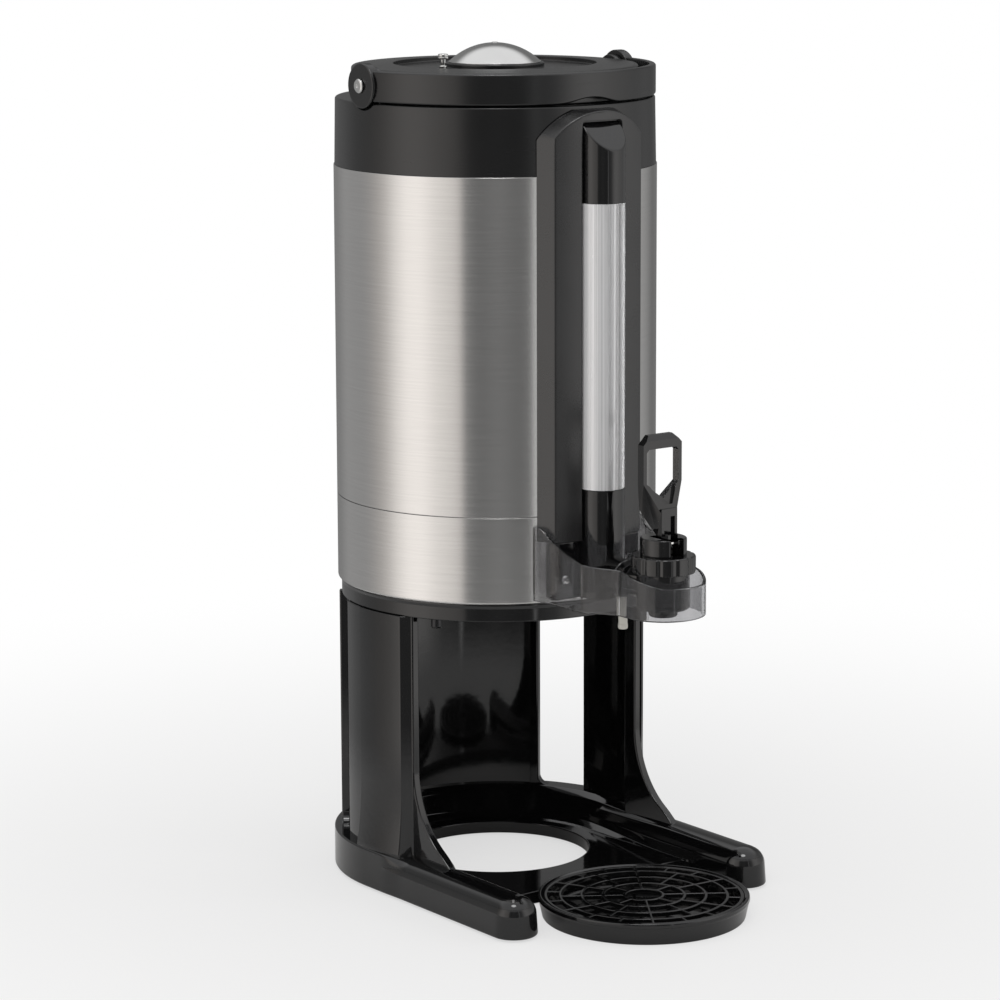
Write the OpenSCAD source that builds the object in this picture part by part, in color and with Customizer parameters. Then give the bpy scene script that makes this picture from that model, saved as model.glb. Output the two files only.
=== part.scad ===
// Insulated drink dispenser: a double-walled steel vessel on a moulded stand,
// with a sight gauge, a sprung tap, a splash guard, a lift-off lid and a folding bail handle.
// Millimetres, +Z up, the front faces -Y, the origin lies under the middle on the table.

/* [Vessel] */
// Outside diameter of the steel shell
body_d = 220; // [196:1:244]
// Height of the vessel's underside above the table
stand_h = 207; // [176:1:250]
// Height of the lower steel band
band_h = 59; // [50:1:72]
// Height of the upper steel shell
shell_h = 226; // [186:1:272]
// Thickness of the steel shell
shell_wall = 1.2; // [0.8:0.1:2]
// Thickness of the inner liner
liner_wall = 1.2; // [0.8:0.1:2]
// Vacuum gap between the shell and the liner
vacuum_gap = 10; // [8:0.5:13]
// Bore of the vessel's neck
mouth_d = 168; // [140:1:172]

/* [Collar] */
// Height of the black collar above the shell
collar_h = 45.5; // [40:0.5:56]
// Wall of the collar
collar_wall = 4; // [2.5:0.1:5]
// How far the collar stands inside the shell's outside
collar_inset = 0.6; // [0.2:0.1:1.5]

/* [Carrying handle] */
// Height of the bail's band
bail_h = 20.5; // [17:0.5:24]
// Thickness of the bail's band
bail_t = 4.5; // [3.5:0.1:6]
// Radius of the bail's ears
ear_r = 15; // [13:0.5:18]
// Thickness of the bail's ears
ear_t = 7; // [5:0.5:8]
// Radius of the pivot pins
pivot_pin_r = 3; // [2:0.1:4]
// Radius of the pivot pins' heads
pivot_head_r = 4.8; // [4:0.1:6]
// Width of the finger notch under the bail
notch_w = 37; // [30:1:50]
// Height of the finger notch
notch_h = 4; // [2:0.5:6]

/* [Lid] */
// Height of the lid above the collar
lid_h = 20.5; // [18:0.5:26]
// Depth of the plug that goes down into the neck
plug_h = 20; // [12:1:30]
// Radius of the recess in the lid's top
lid_recess_r = 69; // [50:1:76]
// Depth of the recess in the lid's top
lid_recess_h = 3; // [1.5:0.5:5]
// Diameter of the steel dome
dome_d = 63; // [54:1:74]
// Height of the steel dome
dome_h = 13; // [9:0.5:18]
// Distance of the vent stem from the vessel's axis
vent_x = 43; // [40:1:50]

/* [Gauge] */
// Width of the housing's front face
housing_w = 71.6; // [62:0.2:80]
// How far the housing's face stands out from the shell
housing_t = 10; // [8:0.5:14]
// Height of the housing's lower edge above the vessel's underside
housing_rise = 43; // [40:0.5:50]
// Radius of the arch at the housing's top
arch_r = 42; // [40:0.5:60]
// Width of the channel for the gauge
channel_w = 40; // [36:0.5:46]
// Outside radius of the clear cover
cover_r = 16.6; // [14:0.1:17.5]
// Wall of the clear cover
cover_wall = 1.6; // [1.2:0.1:2.2]
// Outside diameter of the glass tube
glass_d = 12; // [10:0.5:13]
// Wall of the glass tube
glass_wall = 1.2; // [0.8:0.1:2]
// Height of the black sleeve above the housing's lower edge
sleeve_h = 34.5; // [28:0.5:45]
// Height of the black cap from the arch's top to the cover
cap_h = 59.5; // [50:0.5:70]

/* [Tap] */
// Distance from the shell to the tap's axis
tap_reach = 74; // [66:1:86]
// Height of the shank above the vessel's underside
tap_rise = 20; // [19:0.5:22]
// Outside radius of the shank
shank_r = 8; // [7:0.1:9]
// Bore radius of the shank
shank_bore_r = 5; // [3.5:0.1:6]
// Radius of the tap's barrel
barrel_r = 17.5; // [16:0.1:19]
// Radius of the bonnet's skirt
bonnet_r = 21.3; // [20:0.1:23]
// Radius of the bonnet's crown
crown_r = 15.4; // [14.5:0.1:18]
// Outside radius of the spout
spout_r = 9.5; // [8.5:0.1:11]
// Bore radius of the spout
spout_bore_r = 6; // [4:0.1:7]
// Width of the handle's loop
loop_w = 31.8; // [26:0.2:36]
// Height of the handle's loop above its bend
loop_h = 31.5; // [27:0.5:40]
// Thickness of the handle
loop_t = 6; // [4.5:0.5:7]
// How far the valve stem lifts
stem_lift = 4.2; // [3.5:0.1:4.4]

/* [Splash guard] */
// Width of the guard at the vessel
guard_w = 83; // [78:1:92]
// Radius of the guard's round nose
nose_r = 28; // [26:0.5:32]
// Thickness of the guard
guard_t = 2.2; // [1.6:0.1:3]
// Height of the guard's nose
nose_h = 22; // [18:1:26]
// Height of the guard at its shoulders
shoulder_h = 31; // [27:1:36]
// Height of the guard at the vessel
wing_h = 50; // [42:1:56]

/* [Stand] */
// Outside radius of the base
base_r = 114.5; // [106:0.5:124]
// Thickness of the base plate
plate_h = 8.5; // [6:0.5:12]
// Radius of the round hole in the base
base_hole_r = 64; // [50:1:70]
// Width of the arms
arm_w = 32; // [28:1:36]
// Height of the arms
arm_h = 28.5; // [26:0.5:34]
// Wall of the pillars
pillar_t = 6; // [5:0.5:7]
// Half the angle between the pillars' front edges, measured from the front
pillar_front_a = 73; // [70:1:76]
// Angle of the windows' front edges, measured from the front
window_front_a = 107; // [103:1:110]
// Angle of the crease down the pillars' outside, measured from the front
crease_a = 95; // [92:1:99]
// Angle of the windows' rear edges, measured from the front
window_rear_a = 127; // [122:1:130]
// Thickness of the pillars' front fins
fin_t = 5.7; // [4.5:0.1:8]
// Height of the ring that carries the vessel
ring_h = 12; // [9:0.5:14]
// Height of the base's rear rim
rim_h = 28.5; // [26:0.5:34]

/* [Drip tray] */
// Diameter of the tray's rim
tray_d = 142; // [130:1:148]
// Height of the tray
tray_h = 15; // [13:0.5:18]
// Wall of the tray
tray_wall = 2; // [1.5:0.1:3]
// How far the tray's middle lies behind the tap's axis
tray_back = 19; // [10:1:24]
// Radius of the grille's open middle
grille_eye_r = 12.9; // [9:0.1:15]
// Width of the grille's bars
bar_w = 2; // [1.6:0.1:2.6]
// Thickness of the grille
grille_h = 3; // [2:0.5:4]
// Angle by which the grille is turned
grille_turn = 57; // [0:1:90]

/* [Clearances] */
// Gap between parts that move past each other
run_gap = 0.3; // [0.2:0.05:0.5]
// Radial play of a pin in its bore
pin_play = 0.06; // [0.03:0.01:0.1]
// Radial play of parts that are pushed together
seat_play = 0.1; // [0.05:0.01:0.2]

/* [Hidden] */
$fn = 96;

// Heights
band_top = stand_h + band_h;
shell_top = band_top + shell_h;
collar_top = shell_top + collar_h;
pivot_z = collar_top + 1 + bail_h / 2;
flange_z = collar_top + run_gap;
lid_top = collar_top + 0.5 + lid_h;
housing_z = stand_h + housing_rise;
arch_top = collar_top - 3.5;
cap_z = arch_top - cap_h;
cap_top = arch_top - 7;
sleeve_top = housing_z + sleeve_h;
tap_z = stand_h + tap_rise;
guard_z = stand_h + 2.5;

// Radii about the vessel's axis
body_r = body_d / 2;
collar_r = body_r - collar_inset;
collar_top_r = collar_r - 0.8;
liner_r = body_r - shell_wall - vacuum_gap;
mouth_r = mouth_d / 2;
neck_r = mouth_r + liner_wall;
bail_r = body_r - 1;
bail_in_r = bail_r - bail_t;
lid_r = bail_in_r - 7.1;
lug_out = bail_in_r - 1.3;
lug_in = lid_r + 0.5;
lug_r = 12;
ear_in = lug_out + run_gap;
ear_out = ear_in + ear_t;

// The liner
liner_z = stand_h + 6;
liner_corner_r = 6;
shoulder_z = shell_top - 22;
neck_z = shell_top - 4;
neck_top = collar_top - 0.8;
neck_flange_r = neck_r + 5;

// The lid's gasket, plug and dome
plug_r = mouth_r - 1.5;
gasket_r = neck_flange_r - 1;
gasket_h = 2.6;
crown_rise = 1.2;
recess_z = lid_top + crown_rise - 0.2 - lid_recess_h;
dome_r = dome_d / 2;
dome_seat_h = 3.5;
dome_sphere_r = (dome_r * dome_r + dome_h * dome_h) / (2 * dome_h);

// The gauge, placed in the housing's channel
housing_back_r = body_r + 0.15;
housing_face_r = body_r + housing_t;
housing_draft = 5.7;
arch_z = arch_top + 0.5 - arch_r;
channel_y = -(body_r + 5.5);
cover_y = channel_y - 3;
glass_r = glass_d / 2;
glass_y = cover_y - 5;
glass_z = sleeve_top - 8;
glass_top = cap_z + 8;
block_w = 70;
block_z = stand_h + 4;
seal_r = glass_r + 1.4;
seal_h = 2;

// The tap
tap_y = -(body_r + tap_reach);
boss_r = 12.5;
boss_y = cover_y - 28.5;
collar_nut_t = 7;
tap_boss_r = 10.4;
tap_boss_y = boss_y - collar_nut_t - 0.4;
shank_end_y = tap_y + barrel_r - 1.5;
shank_in_y = -(liner_r - 13);
chamber_r = 12;
barrel_z = tap_z - 13.5;
barrel_top = tap_z + 11;
spout_z = stand_h + 1.5;
seat_z = barrel_z + 5.5;
skirt_h = 11.5;
crown_z = barrel_top + skirt_h;
crown_h = 11.5;
crown_top = crown_z + crown_h;
spring_z = barrel_top - 4.8;
spring_top = barrel_top + 9;
spring_bore_r = 9;
rod_r = 2.5;
pivot_back = 7.5;
handle_y = tap_y - pivot_back;
handle_z = crown_top - 3;
slot_half = 5.4;
slot_z = crown_z + 0.2;
hub_r = 4.6;
cross_z = slot_z + 4.8;
cross_r = 1.2;
nose_z = cross_z - 3;
cheek_in = 3;
cheek_out = 5;
grip_half = 6.4;
bend_z = handle_z + 39;
loop_y = handle_y + 8.5;
paddle_lean = 18.3;

// The guard
guard_half = guard_w / 2;
shoulder_back_y = tap_y + 34;
shoulder_front_y = tap_y + 12;
wing_flare = 2.7;
shoulder_shift = guard_t * tan(atan((guard_half - nose_r) / (shoulder_back_y - shoulder_front_y)) / 2);
guard_screw_x = 29;
guard_screw_z = tap_z - 2;

// The stand
ground_gap = 1.5;
foot_r = 8;
foot_top = 4;
plate_top = ground_gap + plate_h;
pillar_r = body_r - 0.4;
pillar_in_r = pillar_r - pillar_t;
rim_in_r = pillar_in_r - 3;
ring_z = stand_h - ring_h;
ring_r = body_r - 2.5;
ring_in_r = body_r - 22;
panel_in_r = pillar_in_r + 0.5;
panel_out_r = panel_in_r + 3.5;
arm_x = base_r - arm_w / 2 - 0.5;
fin_x = pillar_r - 11.2 - fin_t;
fin_y = -(pillar_r * cos(pillar_front_a)) - 5.4;
tray_r = tray_d / 2;
tray_y = tap_y + tray_back;
arm_end_y = tray_y + 14;
front_edge_y = tray_y + 60;
vessel_screw_r = (ring_r + ring_in_r) / 2 + 3;
pillar_screw_r = (panel_in_r + panel_out_r) / 2;

// The grille
grille_r = tray_r - 4;
grille_step = (grille_r - 2.4 - grille_eye_r) / 3.6;
grille_z = tray_h - 0.8 - grille_h;

// The origin lies under the middle of the whole object, behind the tray and before the rear rim
axis_y = (tray_r - tray_y - base_r) / 2;

steel_colour = [0.80, 0.78, 0.74];
satin_black = [0.16, 0.16, 0.17];
gloss_black = [0.07, 0.07, 0.08];
housing_grey = [0.26, 0.26, 0.27];

// Moves what is drawn about the vessel's axis to its place in the part's frame
module about_axis() {
  translate([0, axis_y, 0]) children();
}

// A ring or tube with vertical walls
module tube(outer_r, inner_r, z0, z1) {
  translate([0, 0, z0])
    difference() {
      cylinder(r = outer_r, h = z1 - z0, $fn = 180);
      translate([0, 0, -1]) cylinder(r = inner_r, h = z1 - z0 + 2, $fn = 180);
    }
}

// A cylinder lying along Y from y0 forward to y1, at height z
module along_y(r, y0, y1, z, x = 0) {
  translate([x, y0, z]) rotate([90, 0, 0]) cylinder(r = r, h = y0 - y1);
}

// A cylinder lying along X from x0 to x1
module along_x(r, x0, x1, y, z) {
  translate([x0, y, z]) rotate([0, 90, 0]) cylinder(r = r, h = x1 - x0);
}

// A vertical cylinder
module upright(r, x, y, z0, z1) {
  translate([x, y, z0]) cylinder(r = r, h = z1 - z0);
}

// A wedge of the plan between two angles from the front, on the side given by 1 or -1
module wedge(a0, a1, side, z0, z1) {
  reach = base_r * 3;
  mid = (a0 + a1) / 2;
  translate([0, 0, z0])
    linear_extrude(z1 - z0)
      polygon([
        [0, 0],
        [side * reach * sin(a0), -reach * cos(a0)],
        [side * reach * sin(mid), -reach * cos(mid)],
        [side * reach * sin(a1), -reach * cos(a1)]
      ]);
}

// Draws its child on the right and mirrored on the left
module both_sides() {
  children();
  mirror([1, 0, 0]) children();
}

module lower_band() {
  color(steel_colour)
    about_axis()
      difference() {
        union() {
          tube(body_r, body_r - shell_wall, stand_h, band_top);
          tube(body_r - shell_wall + 0.1, body_r - 6, stand_h, stand_h + shell_wall);
          // The inner spigot that the upper shell slides over
          tube(body_r - shell_wall - seat_play, body_r - 2 * shell_wall - seat_play, band_top - 10, band_top + 8);
          tube(body_r - shell_wall + 0.1, body_r - 2 * shell_wall - seat_play, band_top - 10, band_top - 6);
        }
        along_y(shank_r + seat_play, -body_r + 20, -body_r - 5, tap_z);
      }
}

module outer_shell() {
  color(steel_colour)
    about_axis() {
      tube(body_r, body_r - shell_wall, band_top + 0.4, shell_top);
      tube(body_r - shell_wall + 0.1, neck_r + seat_play, shell_top - shell_wall, shell_top);
    }
}

// The liner's half section, drawn in by a distance all round
module liner_section(inset) {
  r = liner_r - inset;
  c = liner_corner_r - inset;
  z0 = liner_z + inset;
  translate([0, z0 + c]) square([r, shoulder_z - z0 - c]);
  translate([0, z0]) square([r - c, shoulder_z - z0]);
  translate([r - c, z0 + c]) circle(r = c);
  polygon([
    [0, shoulder_z - 0.1],
    [r, shoulder_z - 0.1],
    [neck_r - inset, neck_z - inset],
    [neck_r - inset, neck_top + inset],
    [0, neck_top + inset]
  ]);
}

module inner_liner() {
  color(steel_colour)
    about_axis()
      difference() {
        union() {
          rotate_extrude($fn = 180)
            difference() {
              liner_section(0);
              liner_section(liner_wall);
            }
          tube(neck_flange_r, neck_r - 0.1, neck_top - liner_wall, neck_top);
          // The ferrule that closes the vacuum round the shank
          intersection() {
            along_y(shank_r + 2.5, -(liner_r - 2), -body_r, tap_z);
            tube(body_r - shell_wall - seat_play, liner_r - liner_wall / 2, stand_h, band_top);
          }
        }
        along_y(shank_r + seat_play, -body_r + 30, -body_r - 5, tap_z);
      }
}

module vessel_base() {
  pad_r = liner_r - 14;
  disc_r = body_r - shell_wall - 2 * seat_play;
  disc_z = stand_h + shell_wall;
  color(gloss_black)
    about_axis()
      difference() {
        union() {
          upright(disc_r, 0, 0, disc_z, liner_z - 1);
          tube(pad_r, pad_r - 12, liner_z - 1.1, liner_z);
        }
        for (a = [60, 120, 240, 300])
          rotate([0, 0, a - 90])
            upright(2, vessel_screw_r, 0, disc_z - 1, liner_z - 2);
      }
}

module collar() {
  deck_h = 5;
  inner_r = neck_flange_r + 1.5;
  color(satin_black)
    about_axis()
      difference() {
        union() {
          difference() {
            rotate_extrude($fn = 180)
              polygon([
                [collar_r - collar_wall, shell_top],
                [collar_r, shell_top],
                [collar_top_r, collar_top - 1],
                [collar_top_r - 1, collar_top],
                [neck_r + 1, collar_top],
                [neck_r + 1, shell_top],
                [inner_r + 2, shell_top],
                [inner_r + 2, collar_top - deck_h],
                [collar_r - collar_wall, collar_top - deck_h]
              ]);
            // The pockets that the ears turn in
            both_sides()
              along_x(ear_r + 0.8, lug_out + 0.05, body_r + 5, 0, pivot_z);
            // The seat of the liner's flange
            upright(neck_flange_r + seat_play, 0, 0, neck_top - liner_wall, collar_top + 1);
          }
          // The lugs that carry the bail
          both_sides() {
            along_x(lug_r, lug_in, lug_out, 0, pivot_z);
            translate([lug_in, -lug_r, collar_top - 1]) cube([lug_out - lug_in, 2 * lug_r, pivot_z - collar_top + 1]);
          }
        }
        both_sides()
          along_x(pivot_pin_r + seat_play / 2, lug_in - 1, lug_out + 1, 0, pivot_z);
      }
}

module bail_handle() {
  corner = 1.6;
  half = bail_h / 2;
  notch_r = (notch_w * notch_w / 4 + notch_h * notch_h) / (2 * notch_h);
  color(satin_black)
    about_axis()
      difference() {
        union() {
          intersection() {
            translate([0, 0, pivot_z])
              rotate_extrude($fn = 180)
                union() {
                  translate([bail_in_r, -half]) square([bail_t - corner, bail_h]);
                  translate([bail_in_r, -half + corner]) square([bail_t, bail_h - 2 * corner]);
                  translate([bail_r - corner, half - corner]) circle(r = corner, $fn = 24);
                  translate([bail_r - corner, corner - half]) circle(r = corner, $fn = 24);
                }
            translate([-body_r - 5, -body_r - 5, pivot_z - half - 1]) cube([body_d + 10, body_r + 5, bail_h + 2]);
          }
          both_sides() {
            along_x(ear_r, ear_in, ear_out - 1, 0, pivot_z);
            along_x(ear_r - 1.2, ear_out - 1.1, ear_out, 0, pivot_z);
          }
        }
        both_sides()
          along_x(pivot_pin_r + pin_play, ear_in - 3, ear_out + 1, 0, pivot_z);
        along_y(notch_r, -body_r + 15, -body_r - 5, pivot_z - half + notch_h - notch_r);
      }
}

module pivot_pins() {
  color("silver")
    about_axis()
      both_sides() {
        along_x(pivot_pin_r, lug_in, ear_out + run_gap + 0.1, 0, pivot_z);
        along_x(pivot_head_r, ear_out + run_gap, ear_out + run_gap + 1.4, 0, pivot_z);
        along_x(pivot_head_r - 1, ear_out + run_gap + 1.3, ear_out + run_gap + 2, 0, pivot_z);
      }
}

module lid_body() {
  color(satin_black)
    about_axis()
      difference() {
        rotate_extrude($fn = 180)
          difference() {
            union() {
              polygon([
                [0, flange_z],
                [lid_r, flange_z],
                [lid_r, lid_top - 2.4],
                [lid_r - 0.8, lid_top - 0.8],
                [lid_r - 2.6, lid_top],
                [lid_recess_r + 1, lid_top + crown_rise],
                [0, lid_top + crown_rise]
              ]);
              translate([0, recess_z]) square([dome_r + 2, dome_seat_h]);
              translate([0, collar_top - plug_h]) square([plug_r, plug_h + 1]);
            }
            // The recess round the dome and its plinth
            difference() {
              translate([0, recess_z]) square([lid_recess_r, lid_recess_h + 1]);
              translate([0, recess_z - 1]) square([dome_r + 2, dome_seat_h + 1]);
            }
            translate([0, recess_z - 0.5]) square([dome_r - 4, dome_seat_h + 1]);
            // The groove that holds the gasket
            translate([mouth_r - 1, flange_z - 1]) square([gasket_r - mouth_r + 1 + seat_play, 3]);
          }
        upright(1.6 + seat_play / 2, -vent_x, 0, recess_z - 10, lid_top + 1);
      }
}

module lid_gasket() {
  color("whitesmoke")
    about_axis()
      rotate_extrude($fn = 120) {
        translate([mouth_r - 0.8, neck_top + run_gap]) square([gasket_r - mouth_r + 0.8, gasket_h - 0.4]);
        translate([mouth_r + 1.5, neck_top + run_gap + 1]) circle(r = 1, $fn = 24);
      }
}

module lid_dome() {
  color("silver")
    about_axis()
      translate([0, 0, recess_z + dome_seat_h]) {
        rotate_extrude($fn = 120)
          intersection() {
            translate([0, dome_h - dome_sphere_r])
              difference() {
                circle(r = dome_sphere_r, $fn = 240);
                circle(r = dome_sphere_r - 1, $fn = 240);
              }
            square([dome_r, dome_h + 1]);
          }
        // The rolled rim that sits in the lid
        tube(dome_r, dome_r - 2.4, 0, 0.8);
        upright(2, 0, 0, dome_h - 1.2, dome_h + 0.4);
      }
}

module vent_stem() {
  color("silver")
    about_axis() {
      upright(1.6, -vent_x, 0, recess_z - 9, recess_z + 8.5);
      upright(2.6, -vent_x, 0, recess_z, recess_z + 2.5);
      upright(3.4, -vent_x, 0, recess_z + 7.5, recess_z + 10.5);
    }
}

// A straight recess with rounded upper corners, in X and Z
module channel_outline(w, z0, z1, r) {
  translate([-w / 2, z0]) square([w, z1 - z0 - r]);
  translate([-w / 2 + r, z0]) square([w - 2 * r, z1 - z0]);
  for (x = [-w / 2 + r, w / 2 - r])
    translate([x, z1 - r]) circle(r = r, $fn = 32);
}

module gauge_housing() {
  face_half = housing_w / 2;
  base_half = face_half + housing_draft;
  base_y = -sqrt(body_r * body_r - base_half * base_half);
  face_y = -sqrt(housing_face_r * housing_face_r - face_half * face_half);
  color(housing_grey)
    about_axis()
      difference() {
        intersection() {
          // The plan: a curved face with drafted sides
          translate([0, 0, housing_z])
            linear_extrude(arch_top - housing_z + 1)
              difference() {
                intersection() {
                  circle(r = housing_face_r, $fn = 240);
                  polygon([
                    [-base_half, base_y],
                    [-face_half, face_y],
                    [-face_half, -housing_face_r - 5],
                    [face_half, -housing_face_r - 5],
                    [face_half, face_y],
                    [base_half, base_y]
                  ]);
                }
                circle(r = housing_back_r, $fn = 240);
              }
          // The front outline: straight sides below and a drafted arch above
          union() {
            translate([0, base_y, arch_z])
              rotate([90, 0, 0])
                cylinder(r1 = arch_r + housing_draft, r2 = arch_r, h = housing_face_r + base_y + 0.1, $fn = 180);
            translate([-body_r, -housing_face_r - 5, housing_z]) cube([2 * body_r, body_r, arch_z - housing_z]);
          }
        }
        translate([0, channel_y, 0])
          rotate([90, 0, 0])
            linear_extrude(30)
              channel_outline(channel_w, housing_z - 1, cap_top + 1, 3);
      }
}

// The half-round section of the gauge's column, with legs back to the channel's floor
module column_section(r) {
  translate([0, cover_y]) circle(r = r, $fn = 96);
  translate([-r, cover_y]) square([2 * r, channel_y - cover_y]);
}

// The half-round column, cut off flush with the channel's floor
module column(z0, z1) {
  translate([0, 0, z0])
    linear_extrude(z1 - z0)
      intersection() {
        column_section(cover_r);
        translate([-cover_r - 1, cover_y - cover_r - 1]) square([2 * cover_r + 2, channel_y - cover_y + cover_r + 1]);
      }
}

module gauge_cover() {
  inner_r = cover_r - cover_wall;
  color([0.85, 0.9, 0.95, 0.35])
    about_axis()
      difference() {
        column(sleeve_top, cap_z);
        translate([0, 0, sleeve_top - 1])
          linear_extrude(cap_z - sleeve_top + 2) {
            translate([0, cover_y]) circle(r = inner_r, $fn = 96);
            translate([-inner_r, cover_y]) square([2 * inner_r, channel_y - cover_y + 1]);
          }
      }
}

module gauge_glass() {
  color([0.9, 0.95, 1, 0.4])
    about_axis()
      translate([0, glass_y, 0])
        tube(glass_r, glass_r - glass_wall, glass_z, glass_top);
}

module glass_clip() {
  clip_z = sleeve_top + 45;
  clip_h = 8;
  inner_r = cover_r - cover_wall;
  color(satin_black)
    about_axis()
      difference() {
        union() {
          translate([0, glass_y, 0]) tube(glass_r + 1.4, glass_r + seat_play, clip_z, clip_z + clip_h);
          // The wings that hold the clip against the cover
          translate([-inner_r + seat_play, channel_y - 2, clip_z])
            cube([2 * (inner_r - seat_play), 2, clip_h]);
        }
        upright(glass_r + seat_play, 0, glass_y, clip_z - 1, clip_z + clip_h + 1);
      }
}

module gauge_cap() {
  slope = cover_r * 3;
  color(satin_black)
    about_axis()
      difference() {
        column(cap_z, cap_top);
        // The slanted top, falling forward at 45 degrees
        translate([-slope, channel_y - 0.5, cap_top])
          rotate([45, 0, 0])
            translate([0, -2 * slope, 0])
              cube([2 * slope, 4 * slope, slope]);
        upright(glass_r + seat_play, 0, glass_y, cap_z - 1, glass_top + 0.2);
        upright(seal_r, 0, glass_y, cap_z + 2, cap_z + 2 + seal_h);
      }
}

module gauge_sleeve() {
  color(satin_black)
    about_axis()
      difference() {
        union() {
          column(block_z, sleeve_top);
          // The block that closes the housing's foot against the vessel
          translate([0, 0, block_z])
            linear_extrude(housing_z - block_z)
              difference() {
                translate([-block_w / 2, channel_y]) square([block_w, body_r]);
                circle(r = housing_back_r, $fn = 240);
                translate([-block_w, -body_r * cos(25)]) square([2 * block_w, 2 * body_r]);
              }
          along_y(boss_r, cover_y, boss_y, tap_z);
        }
        // The bore that the shank passes through
        along_y(shank_r + seat_play / 2, -body_r + 10, boss_y - 1, tap_z);
        // The glass tube's seat and the passage down to the shank
        upright(glass_r + seat_play, 0, glass_y, glass_z - 0.2, sleeve_top + 1);
        upright(seal_r, 0, glass_y, sleeve_top - 4, sleeve_top - 4 + seal_h);
        upright(3, 0, glass_y, tap_z, glass_z);
        // The drain plug's hole
        upright(2.4 + seat_play / 2, 0, boss_y + 5.5, tap_z - boss_r - 1, tap_z - shank_r - 0.5);
        for (x = [-guard_screw_x, guard_screw_x])
          along_y(1.6 + seat_play, channel_y + 4, channel_y - 1, guard_screw_z, x);
      }
}

module glass_seals() {
  color("whitesmoke")
    about_axis()
      translate([0, glass_y, 0]) {
        tube(seal_r - 0.05, glass_r + 0.05, cap_z + 2.1, cap_z + 1.9 + seal_h);
        tube(seal_r - 0.05, glass_r + 0.05, sleeve_top - 3.9, sleeve_top - 4.1 + seal_h);
      }
}

module drain_plug() {
  plug_y = boss_y + 5.5;
  color("ivory")
    about_axis() {
      upright(3.3, 0, plug_y, tap_z - 35, tap_z - boss_r - 0.1);
      upright(2.4, 0, plug_y, tap_z - boss_r - 0.2, tap_z - shank_r - 0.6);
    }
}

module tap_shank() {
  color("silver")
    about_axis()
      difference() {
        along_y(shank_r, shank_in_y, shank_end_y, tap_z);
        along_y(shank_bore_r, shank_in_y + 1, shank_end_y - 1, tap_z);
        upright(3, 0, glass_y, tap_z, tap_z + shank_r + 1);
      }
}

module shank_nut() {
  color("silver")
    about_axis()
      difference() {
        translate([0, shank_in_y - 2, tap_z]) rotate([90, 0, 0]) cylinder(r = 12.5, h = 5, $fn = 6);
        along_y(shank_r + seat_play / 2, shank_in_y + 1, shank_in_y - 10, tap_z);
      }
}

module shank_washer() {
  color("whitesmoke")
    about_axis()
      difference() {
        intersection() {
          along_y(12, shank_in_y - 7, -body_r, tap_z);
          rotate_extrude($fn = 180) liner_section(liner_wall + 0.4);
        }
        along_y(shank_r + seat_play / 2, shank_in_y, -body_r - 1, tap_z);
      }
}

module shank_collar() {
  color(gloss_black)
    about_axis()
      difference() {
        translate([0, boss_y - 0.2, tap_z]) rotate([90, 0, 0]) cylinder(r = 13, h = collar_nut_t, $fn = 8);
        along_y(shank_r + seat_play / 2, boss_y + 1, boss_y - collar_nut_t - 2, tap_z);
      }
}

module tap_body() {
  color(gloss_black)
    about_axis()
      difference() {
        union() {
          upright(barrel_r, 0, tap_y, barrel_z, barrel_top);
          upright(spout_r, 0, tap_y, spout_z + 1, barrel_z + 1);
          upright(spout_r - 1, 0, tap_y, spout_z, spout_z + 2);
          along_y(tap_boss_r, tap_boss_y, tap_y, tap_z);
        }
        upright(chamber_r, 0, tap_y, seat_z, barrel_top + 1);
        upright(spout_bore_r, 0, tap_y, spout_z - 1, seat_z + 1);
        along_y(shank_r + seat_play / 2, tap_boss_y + 1, shank_end_y - 0.2, tap_z);
        along_y(shank_bore_r, tap_boss_y, tap_y, tap_z);
      }
}

module tap_bonnet() {
  color(gloss_black)
    about_axis()
      difference() {
        union() {
          upright(bonnet_r, 0, tap_y, barrel_top, crown_z - 1);
          upright(bonnet_r - 1, 0, tap_y, crown_z - 1.5, crown_z);
          upright(crown_r, 0, tap_y, crown_z - 1, crown_top - 1);
          upright(crown_r - 1, 0, tap_y, crown_top - 1.5, crown_top);
        }
        upright(spring_bore_r, 0, tap_y, barrel_top - 1, spring_top + 0.2);
        upright(rod_r + seat_play, 0, tap_y, barrel_top, crown_top + 1);
        // The slot that the handle works in, open at the front
        translate([-slot_half, tap_y - bonnet_r - 5, slot_z])
          cube([2 * slot_half, bonnet_r + 5 + 5.5, crown_h + 5]);
        along_x(1.9 + seat_play / 2, -crown_r, crown_r, handle_y, handle_z);
        // The grip flutes round the skirt
        for (a = [15:30:345])
          translate([0, tap_y, 0])
            rotate([0, 0, a])
              upright(2, bonnet_r + 1.1, 0, barrel_top - 1, crown_z + 1);
      }
}

module tap_stem() {
  color("silver")
    about_axis()
      difference() {
        union() {
          upright(rod_r, 0, tap_y, seat_z + 4, cross_z + 1.8);
          upright(8, 0, tap_y, spring_z - 2, spring_z);
        }
        along_x(cross_r + seat_play / 2, -rod_r - 1, rod_r + 1, tap_y, cross_z);
      }
}

module stem_pin() {
  color("silver")
    about_axis()
      along_x(cross_r, -4.6, 4.6, tap_y, cross_z);
}

module seat_cup() {
  cup_r = 9.5;
  cup_z = seat_z + run_gap;
  color("whitesmoke")
    about_axis()
      difference() {
        union() {
          upright(cup_r, 0, tap_y, cup_z, cup_z + 4);
          upright(5.5, 0, tap_y, cup_z + 3.9, spring_z - 2.1);
        }
        upright(rod_r + seat_play / 2, 0, tap_y, seat_z + 4 - seat_play, spring_z);
      }
}

module tap_spring() {
  color("silver")
    about_axis()
      translate([0, tap_y, 0])
        tube(7, 5, spring_z + 0.2, spring_top);
}

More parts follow.
